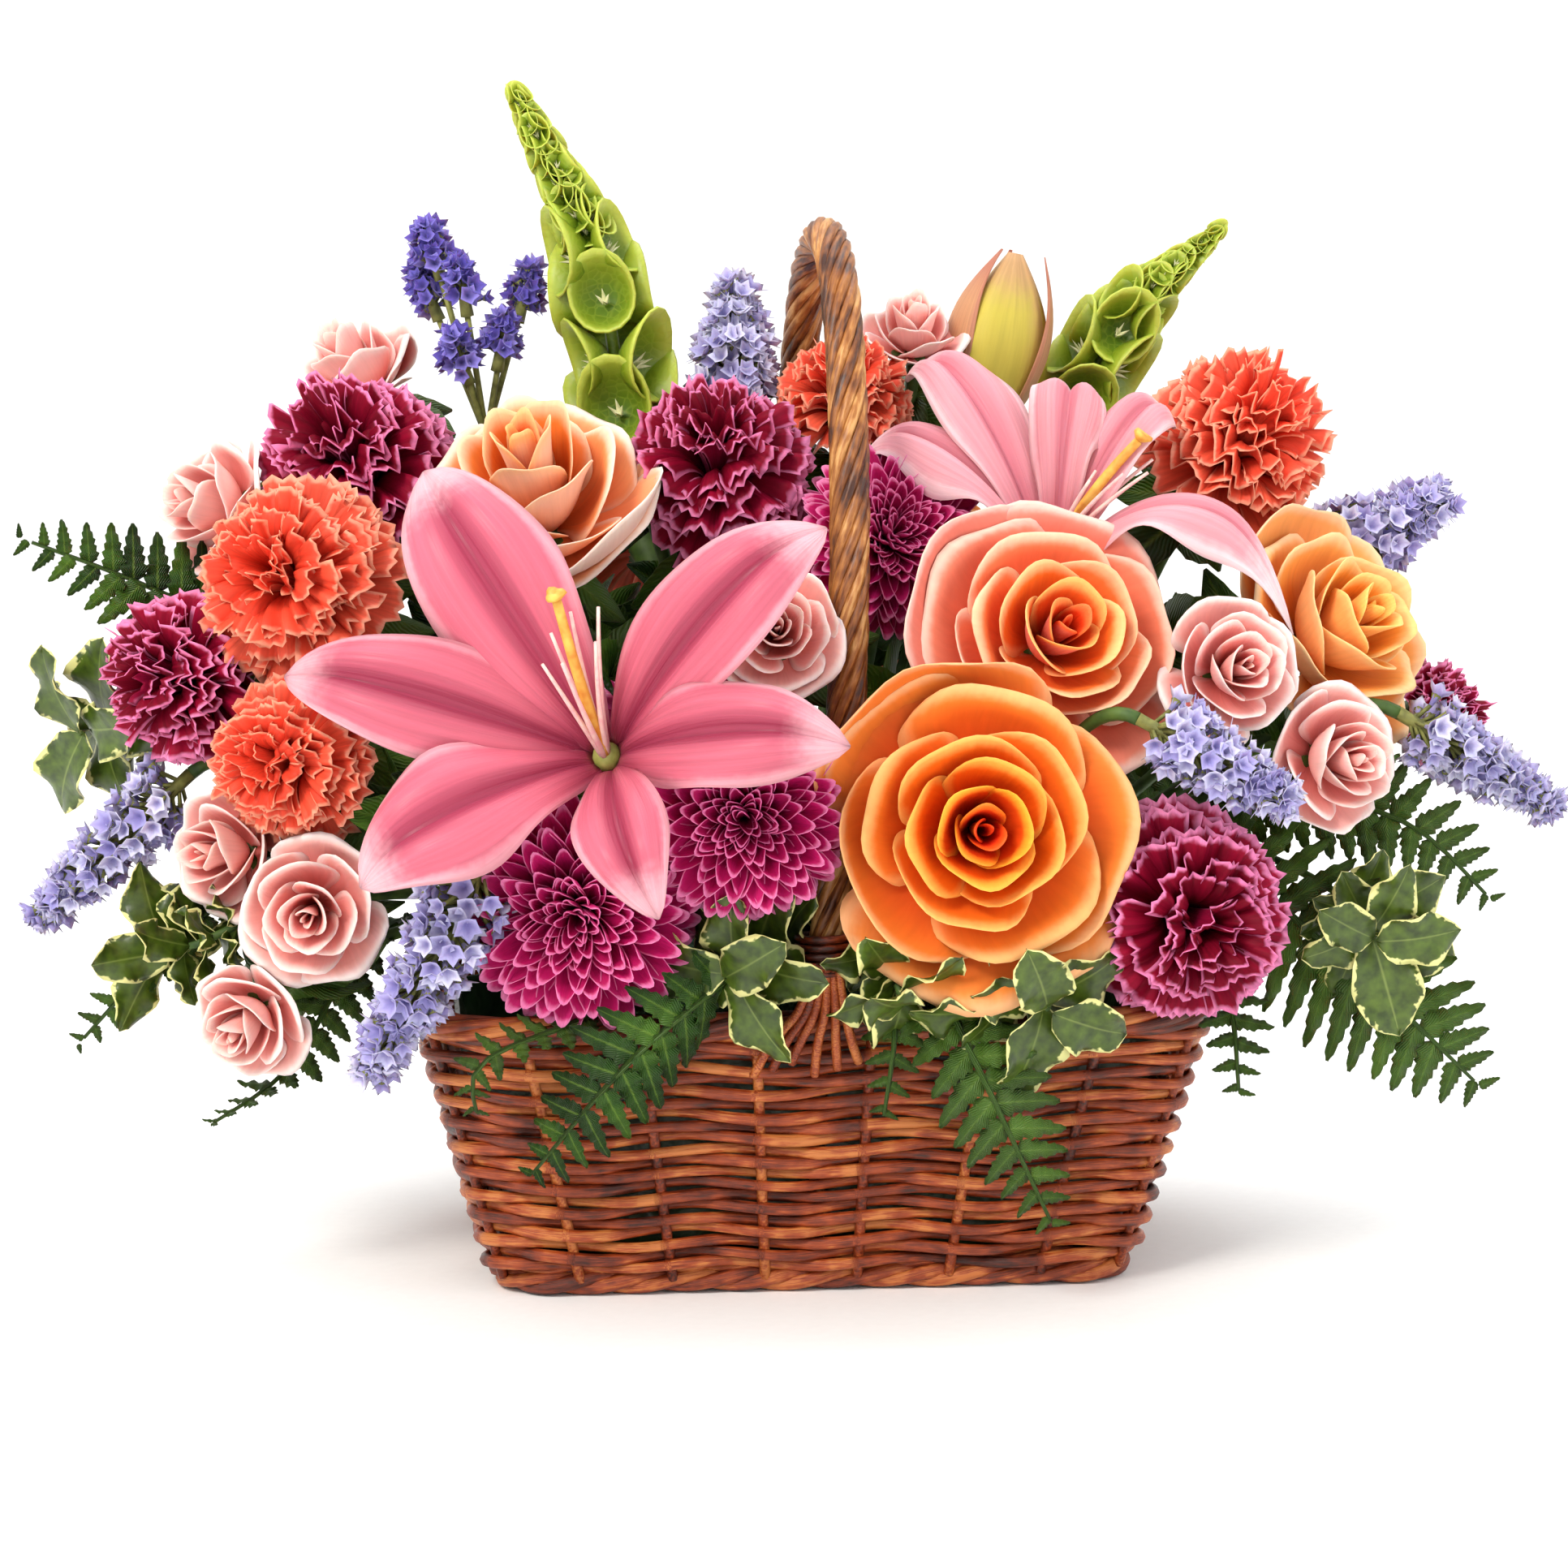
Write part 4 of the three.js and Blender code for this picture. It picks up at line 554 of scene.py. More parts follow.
def hoop_handle():
    """Strand k runs at lay millimetres from the bow's line, at an angle that grows evenly along it; side is
    X less its part along the line, and over is the cross product of the two."""
    line = smooth_line(HANDLE, 260)
    tangent = unit(np.gradient(line, axis=0))
    side = unit(np.array([1.0, 0, 0]) - tangent[:, :1] * tangent)
    over = np.cross(tangent, side)
    strands, lay, turns = 9, 4.45, 6.5
    k = np.arange(strands)[:, None]
    angle = TURN * (turns * np.linspace(0, 1, 260)[None] + k / strands)
    spread = (lay * (1 + 0.03 * np.sin(3 * k + 9 * angle / TURN)))[..., None]
    angle = angle[..., None]
    lines = line[None] + spread * np.cos(angle) * side + spread * np.sin(angle) * over
    wound = rods(lines, 1.85, 8, chance=np.random.default_rng(2).random(strands))
    core = rods(line[None, ::4], 3.3, 8)
    # the bow goes on down the inside of the wall, at both ends
    inside = [(58.2, 14), (65.2, 50), (71.5, 82), (73.4, 92), (80, 103)]
    ends = [smooth_line([(0, way * y, z) for y, z in inside], 20) for way in (-1, 1)]
    return [wound, core, rods(np.array(ends), 2.6, 8)]


piece("hoop_handle", hoop_handle(), handle_willow, "basket_handle", turned=False)


def lashing(side):
    """Five turns of split willow round the handle's foot, as one helix, and six ends splayed over the
    border."""
    t = np.linspace(0, 1, 90)
    angle = 5 * TURN * t
    reach = 8.55
    wrap = np.stack([0.4 + reach * np.cos(angle), side * 84 + reach * np.sin(angle), mix(105.5, 119, t)], -1)
    wound = rods(wrap[None], 1.3, 6)
    ends = []
    for i, x in enumerate((-17, -12.5, -8, -2.5, 3, 8)):
        low = 75 + 2 * (i % 3)
        points = [(1 + x * 0.3, 91.8, 111), (1 + x * 0.55, 92.9, 97), (x, 90.6, 86), (x * 1.3, 87.2, low)]
        ends.append(smooth_line([(px, side * py, pz) for px, py, pz in points], 14))
    return [wound, rods(np.array(ends), 1.45, 6, chance=np.random.default_rng(9).random(6))]


piece("lashing_at_front", lashing(-1), willow, "lashing_front", turned=False)
piece("lashing_at_back", lashing(1), willow, "lashing_back", turned=False)
print("handle and lashings:", sum(t for _, t in made[-3:]), "triangles")

# %% [markdown]
# Inside the basket a dark green film liner keeps the water in, and a block of wet foam holds every stem.
# Their solids are already right, so they stay, and only get their finishes: creased shiny film, and crumbly
# open foam.
# %% Liner film and wet foam
def liner_recipe(tree):
    """Creases about 9 mm apart, drawn by the ridges of a noise."""
    place = add(tree, "TexCoord", give="Object")
    crease = add(tree, "TexNoise", {"Vector": place, "Scale": 110.0, "Detail": 3.0, "Distortion": 0.6})
    tone = add(tree, "ValToRGB", {0: crease}, stops=[(0.3, "#16240f"), (0.7, "#2f4426")])
    return {"Base Color": tone, "Height": crease}


def foam_recipe(tree):
    """Pores 1.2 mm across, with paler dust on the cut faces between them."""
    place = add(tree, "TexCoord", give="Object")
    pores = add(tree, "TexVoronoi", {"Vector": place, "Scale": 830.0})
    patch = add(tree, "TexNoise", {"Vector": place, "Scale": 60.0, "Detail": 2.0})
    both = add(tree, "Math", {0: pores, 1: 0.5, 2: patch}, operation="MULTIPLY_ADD")
    tone = add(tree, "ValToRGB", {0: both}, stops=[(0.4, "#1b3a26"), (0.65, "#2f5a3c"), (0.95, "#5a8062")])
    return {"Base Color": tone, "Height": pores}


def dress(node, material):
    """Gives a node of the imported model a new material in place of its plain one."""
    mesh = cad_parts[node].data
    mesh.materials.clear()
    mesh.materials.append(material)


dress("liner", finish("polyethylene_liner", liner_recipe, 1.2, Roughness=0.28))
dress("flower_foam", finish("wet_flower_foam", foam_recipe, 0.8, Roughness=0.95))

# %% [markdown]
# ## The roses
# A garden rose opens in a spiral: each petal stands a golden angle round from the last and wraps it, tight
# at the heart and wide outside, with the rim of every outer petal rolled back to a soft point. One blade
# per petal gives the sharp pale rims and the dark gaps between them, which a carved lump would lose.
# %% One rose
# face, the way it looks, radius, depth, petals, and the angle at which one petal stands apart, as seen from
# outside
ROSES = {
    "rose_front": ((56, -128, 158), (0.1, -1, 0.14), 51, 42, 22, 128),
    "rose_right": ((84, -84, 217), (0.28, -0.86, 0.42), 46, 34, 20, 170),
    "rose_top": ((-88, -58, 275), (-0.15, -0.66, 0.74), 38, 52, 20, -48),
    "rose_side": ((186, -30, 216), (0.62, -0.6, 0.5), 40, 38, 20, 135),
    "rose_back": ((46, 96, 218), (0.15, 0.85, 0.45), 42, 36, 22, 60),
}


def rose(radius, depth, petals, seed, columns=17, rows=15, thick=0.8, guard=None):
    """Petal k stands k golden angles round. A square of two parameters becomes a round petal where each
    direction shrinks with the square of the other. Along the petal, a quadratic curve runs from the heart
    out past the belly and up to the rim, whose radius grows with a power of the layer and whose height
    rises round the heart and falls outside. The last third, all round its edge, rolls outward and down with
    the square of what is left. Where a guard angle is given, the last petal stands there, broader than the
    rest, upright and away from them."""
    chance = np.random.default_rng(seed)
    turn = GOLDEN_ANGLE * np.arange(petals)[:, None, None]
    apart = np.zeros((petals, 1, 1))
    if guard is not None:
        turn[-1], apart[-1] = guard, 1
    layer = ((np.arange(petals) + 0.5) / petals)[:, None, None]
    odd = chance.uniform(-1, 1, (6, petals, 1, 1))
    u = np.linspace(-1, 1, columns)[None, None, :]
    v = np.linspace(0, 1, rows)[None, :, None] ** 0.85
    wide_open = np.clip(layer * 1.12, 0, 1)
    rim_r = radius * (0.018 + 0.84 * wide_open**1.2) * (1 + 0.055 * odd[0] + 0.13 * apart)
    rim_z = depth * (0.74 + 0.26 * np.sin(np.pi * wide_open**0.55) - 0.28 * wide_open**2)
    rim_z = rim_z * (1 + 0.03 * odd[1]) + 0.16 * depth * apart
    half = mix(2.1, 1.12, np.clip(layer * 1.5, 0, 1) ** 0.6) * (1 + 0.1 * odd[2])
    wide = u * np.sqrt(1 - 0.5 * v**2)
    long = v * np.sqrt(1 - 0.5 * u**2) * (1 - 0.1 * wide_open * u**2)
    belly = mix(1.0, 1.25, wide_open)
    r = (1 - long) ** 2 * 0.006 * radius + 2 * long * (1 - long) * rim_r * belly + long**2 * rim_r
    z = 2 * long * (1 - long) * rim_z * mix(0.6, 0.2, wide_open) + long**2 * rim_z
    roll = np.clip((np.hypot(0.9 * wide, long) - 0.68) / 0.32, 0, 1) ** 2 * np.clip(3 * long - 0.6, 0, 1)
    roll = roll * (1 - 0.45 * apart)
    r = r + radius * (0.012 + (0.1 + 0.05 * odd[4]) * wide_open) * roll
    z = z - depth * (0.14 + 0.08 * odd[4]) * wide_open * roll
    spread = wide * half * 1.2 * np.sin(np.pi / 2 * np.clip(0.3 + 1.2 * long, 0, 1))
    angle = turn + 0.15 * odd[5] + spread
    # the sides stand off the circle, as a flatter curve would, and one more than the other
    off_circle = (0.06 * spread**2 + 0.08 * spread) * long**2
    r = r * (1 + off_circle * np.clip(layer * 4, 0, 1) * mix(1, 0.5, wide_open))
    wavy = np.sin(2.2 * np.pi * u + 5 * odd[3]) * v**3
    point = np.exp(-((u / 0.3) ** 2)) * v**6
    r = r + radius * (0.024 * wavy + 0.04 * point) * wide_open
    z = z + depth * 0.03 * wavy * (0.3 + wide_open)
    sheets = np.stack([r * np.cos(angle), r * np.sin(angle), z + 0 * angle], -1)
    return blades(sheets, thick, layer, chance.random((petals, 1, 1)))


def hip(size, length, sepals=5):
    """A green hip below the bloom, a profile turned about Z, and pointed sepals that hug it and bend back."""
    profile = [(0.35, -0.9, 0), (0.55, -0.6, 0), (0.95, -0.2, 0)]
    profile += [(1.0, 0.1, 0), (0.7, 0.3, 0), (0.2, 0.32, 0)]
    body = cup([(size * r, length * z, s) for r, z, s in profile], 10)
    k = np.arange(sepals)[:, None, None]
    u, v = np.linspace(-1, 1, 5)[None, None, :], np.linspace(0, 1, 9)[None, :, None]
    angle = TURN * k / sepals + u * 0.5 * (1 - v) ** 0.7
    r = size * (0.6 + 1.9 * v + 0.1 * np.sin(9 * v + k))
    z = length * (0.1 + 0.75 * v - 0.7 * v**3) + 0 * u
    return [body, blades(np.stack([r * np.cos(angle), r * np.sin(angle), z + 0 * angle], -1), 0.7)]


OPEN_ROSE = {"rim_width": 0.16, "streak": 0.08, "glow": 0.2}
# the deep colours darken the petals toward their roots: partly each rose's own deeper heart, partly painted
# shade in the bloom's depths
orange_rose = petal_finish(
    "orange_rose_petals", inner=("#dc280a", "#fc7a10", "#fb943c"), outer=("#fb8a2c", "#f8a070"),
    rim_tones_and_highlight=("#ec4a18", "#ffb032", "#fdb680"), deep="#cc2404", root=1.1, **OPEN_ROSE)
pink_edged_rose = petal_finish(
    "pink_edged_rose_petals", inner=("#ea3e12", "#fd842c", "#f0907e"), outer=("#f28470", "#f4a398"),
    rim_tones_and_highlight=("#f4703c", "#feb864", "#fccdc0"), deep="#e2441c", root=1.05, **OPEN_ROSE)
cream_rose = petal_finish(
    "cream_backed_rose_petals", inner=("#f05a16", "#ff9640", "#fdbc8c"), outer=("#fdc9a6", "#fddccb"),
    rim_tones_and_highlight=("#ffc07c", "#fee6d8"), deep="#ea6426", root=1.0, **OPEN_ROSE)
apricot_rose = petal_finish(
    "apricot_rose_petals", inner=("#fb8c22", "#ffac46", "#ffb468"), outer=("#fdac5a", "#fcc08e"),
    rim_tones_and_highlight=("#ffc668", "#fed2a6"), deep="#f07018", root=1.0, **OPEN_ROSE)
roots, hips = {}, []


def planted(name, face, toward, depth, collar, length):
    """The root of a bloom, one depth behind its face, with a hip under it, noted for the stems."""
    root = np.array(face, float) - depth * unit(np.array(toward, float))
    roots[name] = (root, np.array(toward, float))
    hips.extend(standing(part, root, toward) for part in hip(collar, length))
    return root


for number, (name, (face, toward, radius, depth, petals, apart)) in enumerate(ROSES.items()):
    root = planted(name, face, toward, depth, 6.5, 9)
    colour = (orange_rose, pink_edged_rose, cream_rose, apricot_rose, orange_rose)[number]
    bloom = rose(radius, depth, petals, 11 + number, guard=math.radians(apart) - radius)
    piece(name + "_petals", standing(bloom, root, toward, radius), colour, name)
print("roses:", sum(t for _, t in made[-5:]), "triangles")

# %% [markdown]
# The small spray roses are the same flower with fewer, blunter petals in pale pink.
# %% Spray roses
SPRAY_ROSES = {
    "spray_rose_1": ((-156, 36, 299), (-0.5, -0.3, 0.8), 25),
    "spray_rose_2": ((-203, -12, 247), (-0.8, -0.55, 0.25), 24),
    "spray_rose_3": ((-190, -70, 141), (-0.6, -0.8, 0.1), 23),
    "spray_rose_4": ((-151, -100, 125), (-0.05, -1, 0), 25),
    "spray_rose_5": ((-178, -86, 84), (-0.4, -0.85, -0.3), 20),
    "spray_rose_6": ((-7, -99, 217), (0.02, -0.95, 0.3), 21),
    "spray_rose_7": ((139, -84, 203), (0.3, -0.9, 0.25), 24),
    "spray_rose_8": ((177, -68, 170), (0.5, -0.85, 0.1), 24),
    "spray_rose_9": ((37, 24, 309), (0, -0.45, 0.9), 18),
    "spray_rose_10": ((-122, 80, 208), (-0.6, 0.7, 0.4), 23),
}
# the deep colour darkens the petals toward their roots: partly their own deeper heart, partly painted shade
# in the bloom's depths
spray_petals = petal_finish(
    "pink_spray_rose_petals", inner=("#ee7c78", "#f8a9a2", "#fbc5bd"), outer=("#fab4ac", "#fccec7"),
    rim_tones_and_highlight=("#fdccc4", "#fee8e3"), deep="#e2665e", rim_width=0.18, streak=0.06, glow=0.25, root=1.0)
for number, (name, (face, toward, radius)) in enumerate(SPRAY_ROSES.items()):
    depth = radius * 1.25
    root = planted(name, face, toward, depth, 4, 6)
    bloom = rose(radius, depth * 0.98, 17, 40 + number, columns=13, rows=11, thick=0.7)
    piece(name + "_petals", standing(bloom, root, toward, number), spray_petals, name)
print("spray roses:", sum(t for _, t in made[-10:]), "triangles")

# %% [markdown]
# ## Carnations and chrysanthemums
# A carnation is a ball of fan-shaped petals, toothed and ruffled at the rim. A chrysanthemum is a ball of
# narrow spooned petals, short and closed at its heart. Both balls are made alike: petals start near one
# centre and lean out by a rise angle that falls from upright at the heart to a little below level at the
# outside.
# %% Carnations
CARNATIONS = {
    "coral_carnation_1": ((-165, -66, 230), (-0.4, -0.88, 0.3), 35),
    "coral_carnation_2": ((-164, -82, 172), (-0.45, -0.88, 0.1), 29),
    "coral_carnation_3": ((14, 10, 288), (0, -0.45, 0.9), 24),
    "coral_carnation_4": ((150, 2, 275), (0.45, -0.5, 0.7), 34),
    "coral_carnation_5": ((-60, 88, 240), (-0.3, 0.75, 0.6), 33),
    "burgundy_carnation_1": ((-148, -18, 268), (-0.35, -0.65, 0.7), 35),
    "burgundy_carnation_2": ((-205, -46, 193), (-0.7, -0.7, 0.1), 31),
    "burgundy_carnation_3": ((-27, -26, 270), (-0.05, -0.65, 0.75), 33),
    "burgundy_carnation_4": ((124, -98, 122), (0.3, -0.94, -0.05), 37),
    "burgundy_carnation_5": ((217, 16, 175), (0.85, -0.35, 0.25), 20),
}


BALL_CENTRE = 0.42  # height of the ball's centre above the root, in radii


def carnation(radius, petals, seed, columns=17, rows=9):
    """Petal k is a fan. In the plane of its direction, a quadratic curve rises from the heart and then
    bends over outward, to end on the ball at its rise angle. Its half width grows with the way along, every
    second point of its rim is cut back to make teeth, and two sines across it, growing with the way along,
    ruffle it."""
    chance = np.random.default_rng(seed)
    layer = ((np.arange(petals) + 0.5) / petals)[:, None, None]
    odd = chance.uniform(-1, 1, (7, petals, 1, 1))
    rise = mix(1.5, -0.25, layer**0.75) + 0.17 * odd[0]
    turn = GOLDEN_ANGLE * np.arange(petals)[:, None, None] + 0.3 * odd[1]
    u = np.linspace(-1, 1, columns)[None, None, :]
    v = np.linspace(0, 1, rows)[None, :, None] ** 0.85
    reach = radius * mix(0.8, 0.95, layer) * (1 + 0.07 * odd[2])
    far, high = reach * np.cos(rise), radius * BALL_CENTRE + reach * np.sin(rise)
    over = np.maximum(high + radius * 0.1, radius * 0.36)
    teeth = 1 - 0.04 * (np.arange(columns) % 2) * (v > 0.99) - 0.14 * np.abs(u) ** 3 * v
    w = v * teeth
    r = (1 - w) ** 2 * radius * 0.05 + 2 * w * (1 - w) * far * 0.3 + w**2 * far
    z = (1 - w) ** 2 * radius * 0.1 + 2 * w * (1 - w) * over + w**2 * high
    half = radius * mix(0.3, 0.5, layer) * (0.1 + 0.9 * v**1.2)
    wave = 0.09 * np.sin(2.4 * np.pi * u + 6 * odd[3]) + 0.05 * np.sin(4.6 * np.pi * u + 6 * odd[4])
    z = z + radius * wave * v**2 + radius * 0.2 * odd[5] * u * v + radius * 0.1 * odd[6] * v**3
    c, s = np.cos(turn), np.sin(turn)
    across = half * u
    sheets = np.stack([r * c - across * s, r * s + across * c, z + 0 * r], -1)
    return blades(sheets, 0.65, layer, chance.random((petals, 1, 1)))


# the deep colours are painted shade in the depths of each ball, toward the petals' roots
coral_petals = petal_finish(
    "coral_carnation_petals", inner=("#e8432a", "#f05238", "#f26246"), outer=("#ec4e36", "#f0684e"),
    rim_tones_and_highlight=("#fd9c7c", "#fea488"), deep="#c42c16", rim_width=0.045, streak=0.22)
wine_petals = petal_finish(
    "burgundy_carnation_petals", inner=("#70041e", "#8a082a", "#960e34"), outer=("#8e0e36", "#9e183e"),
    rim_tones_and_highlight=("#f07eb2", "#f290be"), deep="#3a020e", rim_width=0.055, streak=0.3, gloss=0.1)


def calyx(length, radius):
    """A long green cup below a carnation, turned about Z, with a toothed edge."""
    rings = [(0.4, -1, 0), (0.6, -0.92, 0), (0.8, -0.5, 0), (0.95, 0.05, 0.4), (1.25, 0.25, 1), (1.0, 0.2, 1)]
    rings += [(0.7, -0.1, 0), (0.25, -0.2, 0)]
    return cup([(radius * r, length * z, s) for r, z, s in rings], 10, 5, 0.18)


for number, (name, (face, toward, radius)) in enumerate(CARNATIONS.items()):
    root = np.array(face, float) - 1.1 * radius * unit(np.array(toward, float))
    roots[name] = (root, np.array(toward, float))
    hips.append(standing(calyx(14, 6.5), root + 4 * unit(np.array(toward, float)), toward))
    coral = name.startswith("coral")
    bloom = carnation(radius, 52, 60 + number)
    piece(name + "_petals", standing(bloom, root, toward, radius), coral_petals if coral else wine_petals,
          name)
print("carnations:", sum(t for _, t in made[-10:]), "triangles")

# %% Chrysanthemums
CHRYSANTHEMUMS = {
    "chrysanthemum_1": ((-17, -113, 159), (0, -1, 0.1), 33),
    "chrysanthemum_2": ((-69, -109, 125), (-0.1, -0.97, -0.1), 37),
    "chrysanthemum_3": ((33, -36, 240), (0.3, -0.85, 0.4), 31),
    "chrysanthemum_4": ((-38, 114, 160), (0, 0.95, 0.3), 35),
}


def spokes(petals, rise):
    """For petal k at k golden angles and its rise: the way out, the way across and the way square to both."""
    turn = GOLDEN_ANGLE * np.arange(petals)[:, None, None]
    rise = rise + 0 * turn
    c, s = np.cos(turn), np.sin(turn)
    out = np.stack([c * np.cos(rise), s * np.cos(rise), np.sin(rise)], -1)
    side = np.stack([-s, c, 0 * c], -1)
    up = np.stack([-c * np.sin(rise), -s * np.sin(rise), np.cos(rise)], -1)
    return out, side, up


def chrysanthemum(radius, petals, seed):
    """Petal k is a narrow blade whose sides fold up with the square of the way across, like a spoon, and
    whose tip curls up with the cube of the way out. Near the heart they are short and stand closed."""
    chance = np.random.default_rng(seed)
    layer = ((np.arange(petals) + 0.5) / petals)[:, None, None]
    odd = chance.uniform(-1, 1, (5, petals, 1, 1))
    out, side, up = spokes(petals, mix(1.5, -0.35, layer**0.72) + 0.09 * odd[0])
    u, v = np.linspace(-1, 1, 5)[None, None, :], np.linspace(0, 1, 7)[None, :, None] ** 0.9
    reach = radius * mix(0.56, 0.99, np.clip(layer * 2.2, 0, 1)) * (1 + 0.06 * odd[1])
    half = radius * mix(0.06, 0.115, np.clip(layer * 3, 0, 1)) * np.sin(np.pi * (0.1 + 0.78 * v**1.4)) ** 0.7
    fold = half * 0.75 * u**2
    curl = radius * (0.1 + 0.07 * odd[2]) * v**3 * np.clip(layer * 3, 0, 1) - radius * 0.05 * (1 - layer) * v
    sway = radius * 0.05 * odd[3] * v**2
    far = reach * (0.1 + 0.9 * v) * (1 - 0.06 * u**2 * v)
    sheets = out * far[..., None] + side * (half * u + sway)[..., None] + up * (fold + curl)[..., None]
    sheets[..., 2] += radius * BALL_CENTRE
    return blades(sheets, 0.65, layer, chance.random((petals, 1, 1)))


# the deep colour is painted shade in the depths of each ball, toward the petals' roots
mum_petals = petal_finish(
    "magenta_chrysanthemum_petals", inner=("#9a0a48", "#c01866", "#ca2270"), outer=("#d0307c", "#d64088"),
    rim_tones_and_highlight=("#ee76ae", "#f08aba"), deep="#6c0530", rim_width=0.06, streak=0.12, gloss=0.15)
for number, (name, (face, toward, radius)) in enumerate(CHRYSANTHEMUMS.items()):
    root = planted(name, face, toward, radius, 7, 7)
    bloom = chrysanthemum(radius, 210, 80 + number)
    piece(name + "_petals", standing(bloom, root, toward, radius), mum_petals, name)
print("chrysanthemums:", sum(t for _, t in made[-4:]), "triangles")

# %% [markdown]
# ## The lilies
# An open lily has three wide inner petals over three narrow outer ones. Each leaves a short throat, arches
# out and curls back at its tip, with a groove along its middle and a wavy margin. Every petal is told by
# its angle, its reach and its width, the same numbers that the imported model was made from.
# %% One lily
# angle in degrees, reach, width, whether it is an inner petal, depth of the arch, curl of the tip
LILY_FRONT = ((114, 103, 56, 1, 46, 14), (204, 82, 52, 1, 46, 14), (-13, 79, 42, 1, 46, 14),
              (33, 94, 46, 0, 46, 14), (158, 99, 44, 0, 46, 14), (283, 61, 36, 0, 46, 14))
LILY_BACK = ((158, 68, 34, 1, 46, 14), (130, 70, 36, 0, 62, 10), (78, 32, 46, 1, 56, 2),
             (36, 48, 34, 0, 54, 8), (-18, 78, 36, 1, 38, 40), (262, 17, 26, 0, 24, 4))


def lily(petals, seed):
    """A petal's way out grows with a power of the way along; its half width is a sine of that, its height
    an arch less the curl of the tip to the fourth power. Across, it is cupped with the square, has a groove
    at its middle and a margin that waves with a sine along it. It is never wider than a wedge that opens
    from the throat, and beyond 0.72 of its length it also drops with the square."""
    chance = np.random.default_rng(seed)
    u, v = np.linspace(-1, 1, 19)[None, :], np.linspace(0, 1, 30)[:, None]
    shapes = []
    for angle, reach, width, inner, depth, curl in petals:
        odd = chance.uniform(-1, 1, 6)
        r = mix(4.0, reach, v**1.15)
        wide, narrow = width / 2 * np.sin(np.pi * (0.1 + 0.899 * v) ** 0.85) ** 0.66, 0.56 * r + 1.5
        half = (wide**-3.0 + narrow**-3.0) ** (-1 / 3)
        z = depth * (1 - (1 - v) ** 1.7) - curl * v**4 + 2.4 * inner * (1 - v)
        cupped = 0.3 * half * u**2 * (1 - v)
        swell = np.sin(np.pi * v) ** 0.6
        groove = (3.6 * np.exp(-(((np.abs(u) - 0.42) / 0.3) ** 2)) - 2.6 * np.exp(-((u / 0.1) ** 2))) * swell
        margin = (2.0 + 3.2 * inner) * u**4 * np.sin(3.4 * np.pi * v + 5 * odd[0] + np.sign(u)) * swell
        margin = margin - (3.0 + 3.5 * inner) * u**4 * swell
        twist = 0.16 * odd[1] * u * half * v
        way = math.radians(angle)
        out, side = np.array([math.cos(way), math.sin(way), 0]), np.array([-math.sin(way), math.cos(way), 0])
        sheet = out * (r - 0.5 * cupped)[..., None] + side * (u * half)[..., None]
        sheet[..., 2] = z + cupped + groove + margin + twist - 120 * np.clip(v - 0.72, 0, 1) ** 2
        shapes.append(blades(sheet[None], 0.9, 0.3 if inner else 0.8, chance.random()))
    throat = [(1.5, -7, 0), (3, -6, 0), (4.2, -2, 0), (4.7, 2, 0), (3.6, 5.2, 0), (0.8, 5.8, 0)]
    return shapes, cup(throat, 12)


def stamens(length, sweep, seed):
    """Six filaments that lean out with the square of the way along and are all swept aside together, each
    ending in a bare tip, and a thicker pistil among them that ends in a knob of three lobes. Florists take
    the pollen off."""
    chance = np.random.default_rng(seed)
    foot, steps = 4.0, 12
    t = np.linspace(0, 1, steps)[:, None]
    swept = np.array([*sweep, 0.0]) * (0.6 * t + 0.4 * t**2)
    filaments = []
    for k in range(6):
        angle = np.pi * k / 3 + 0.4 + 0.2 * chance.uniform(-1, 1)
        lean = 10 + 3 * chance.uniform(-1, 1)
        out = np.array([math.cos(angle), math.sin(angle), 0])
        far = 0.8 + 0.08 * chance.uniform(-1, 1)
        spread = out * lean * (0.08 + 0.5 * t + 0.42 * t**2)
        filaments.append(spread + swept * far + [0, 0, 1] * mix(foot, length * far, t))
    taper = np.linspace(1.15, 0.55, steps)
    pistil = swept + [0, 0, 1] * mix(foot, length, t)
    rings = [(0.9, 0, 0), (1.8, 0.5, 0.5), (3.1, 1.8, 1), (2.8, 2.9, 1), (1.2, 3.2, 0.5), (0.3, 2.6, 0)]
    knob = cup(rings, 12, 3, 0.22)
    stalk = rods(pistil[None], np.linspace(2.0, 1.5, steps), 8)
    return [rods(filaments, taper, 6)], [stalk, standing(knob, pistil[-1], (*sweep, length))]


# the deep colours darken the petals at the throat, partly their own deeper base and partly painted shade
# there
lily_petals = petal_finish(
    "pink_lily_petals", inner=("#d0667a", "#cf657a", "#cc6377"), outer=("#e0909e", "#e39ca8"),
    rim_tones_and_highlight=("#f0b4be", "#eeaeb9"), deep="#98304e", rim_width=0.14, streak=0.16, glow=0.1, root=0.3,
    middle=0.85, rough=0.4, veins=0.45)
pale_lily = petal_finish(
    "pale_lily_petals", inner=("#e0949f", "#e49ca6", "#de919c"), outer=("#ecaab4", "#eeb6be"),
    rim_tones_and_highlight=("#fadce0", "#f9d6da"), deep="#c05a70", rim_width=0.14, streak=0.14, glow=0.2, root=0.28,
    middle=0.6, rough=0.42, veins=0.45)


def plain_recipe(low, high, size=3.0):
    """Two tones of one colour, mottled in spots of so many millimetres."""

    def recipe(tree):
        place = add(tree, "TexCoord", give="Object")
        spots = add(tree, "TexNoise", {"Vector": place, "Scale": 1000.0 / size, "Detail": 2.0})
        tone = add(tree, "ValToRGB", {0: spots}, stops=[(0.3, low), (0.7, high)])
        return {"Base Color": tone, "Height": spots}

    return recipe


filament = finish("lily_filaments", plain_recipe("#eeb3b4", "#f6d8cc"), 0.1,
                  Roughness=0.45, Subsurface_Weight=0.15, Subsurface_Scale=0.003)
pistil_skin = finish("lily_pistil", plain_recipe("#d98a2c", "#ecc055", 4.0), 0.2, Roughness=0.5)
green_throat = finish("lily_throat", plain_recipe("#7f8838", "#a9a45c"), 0.1, Roughness=0.5)

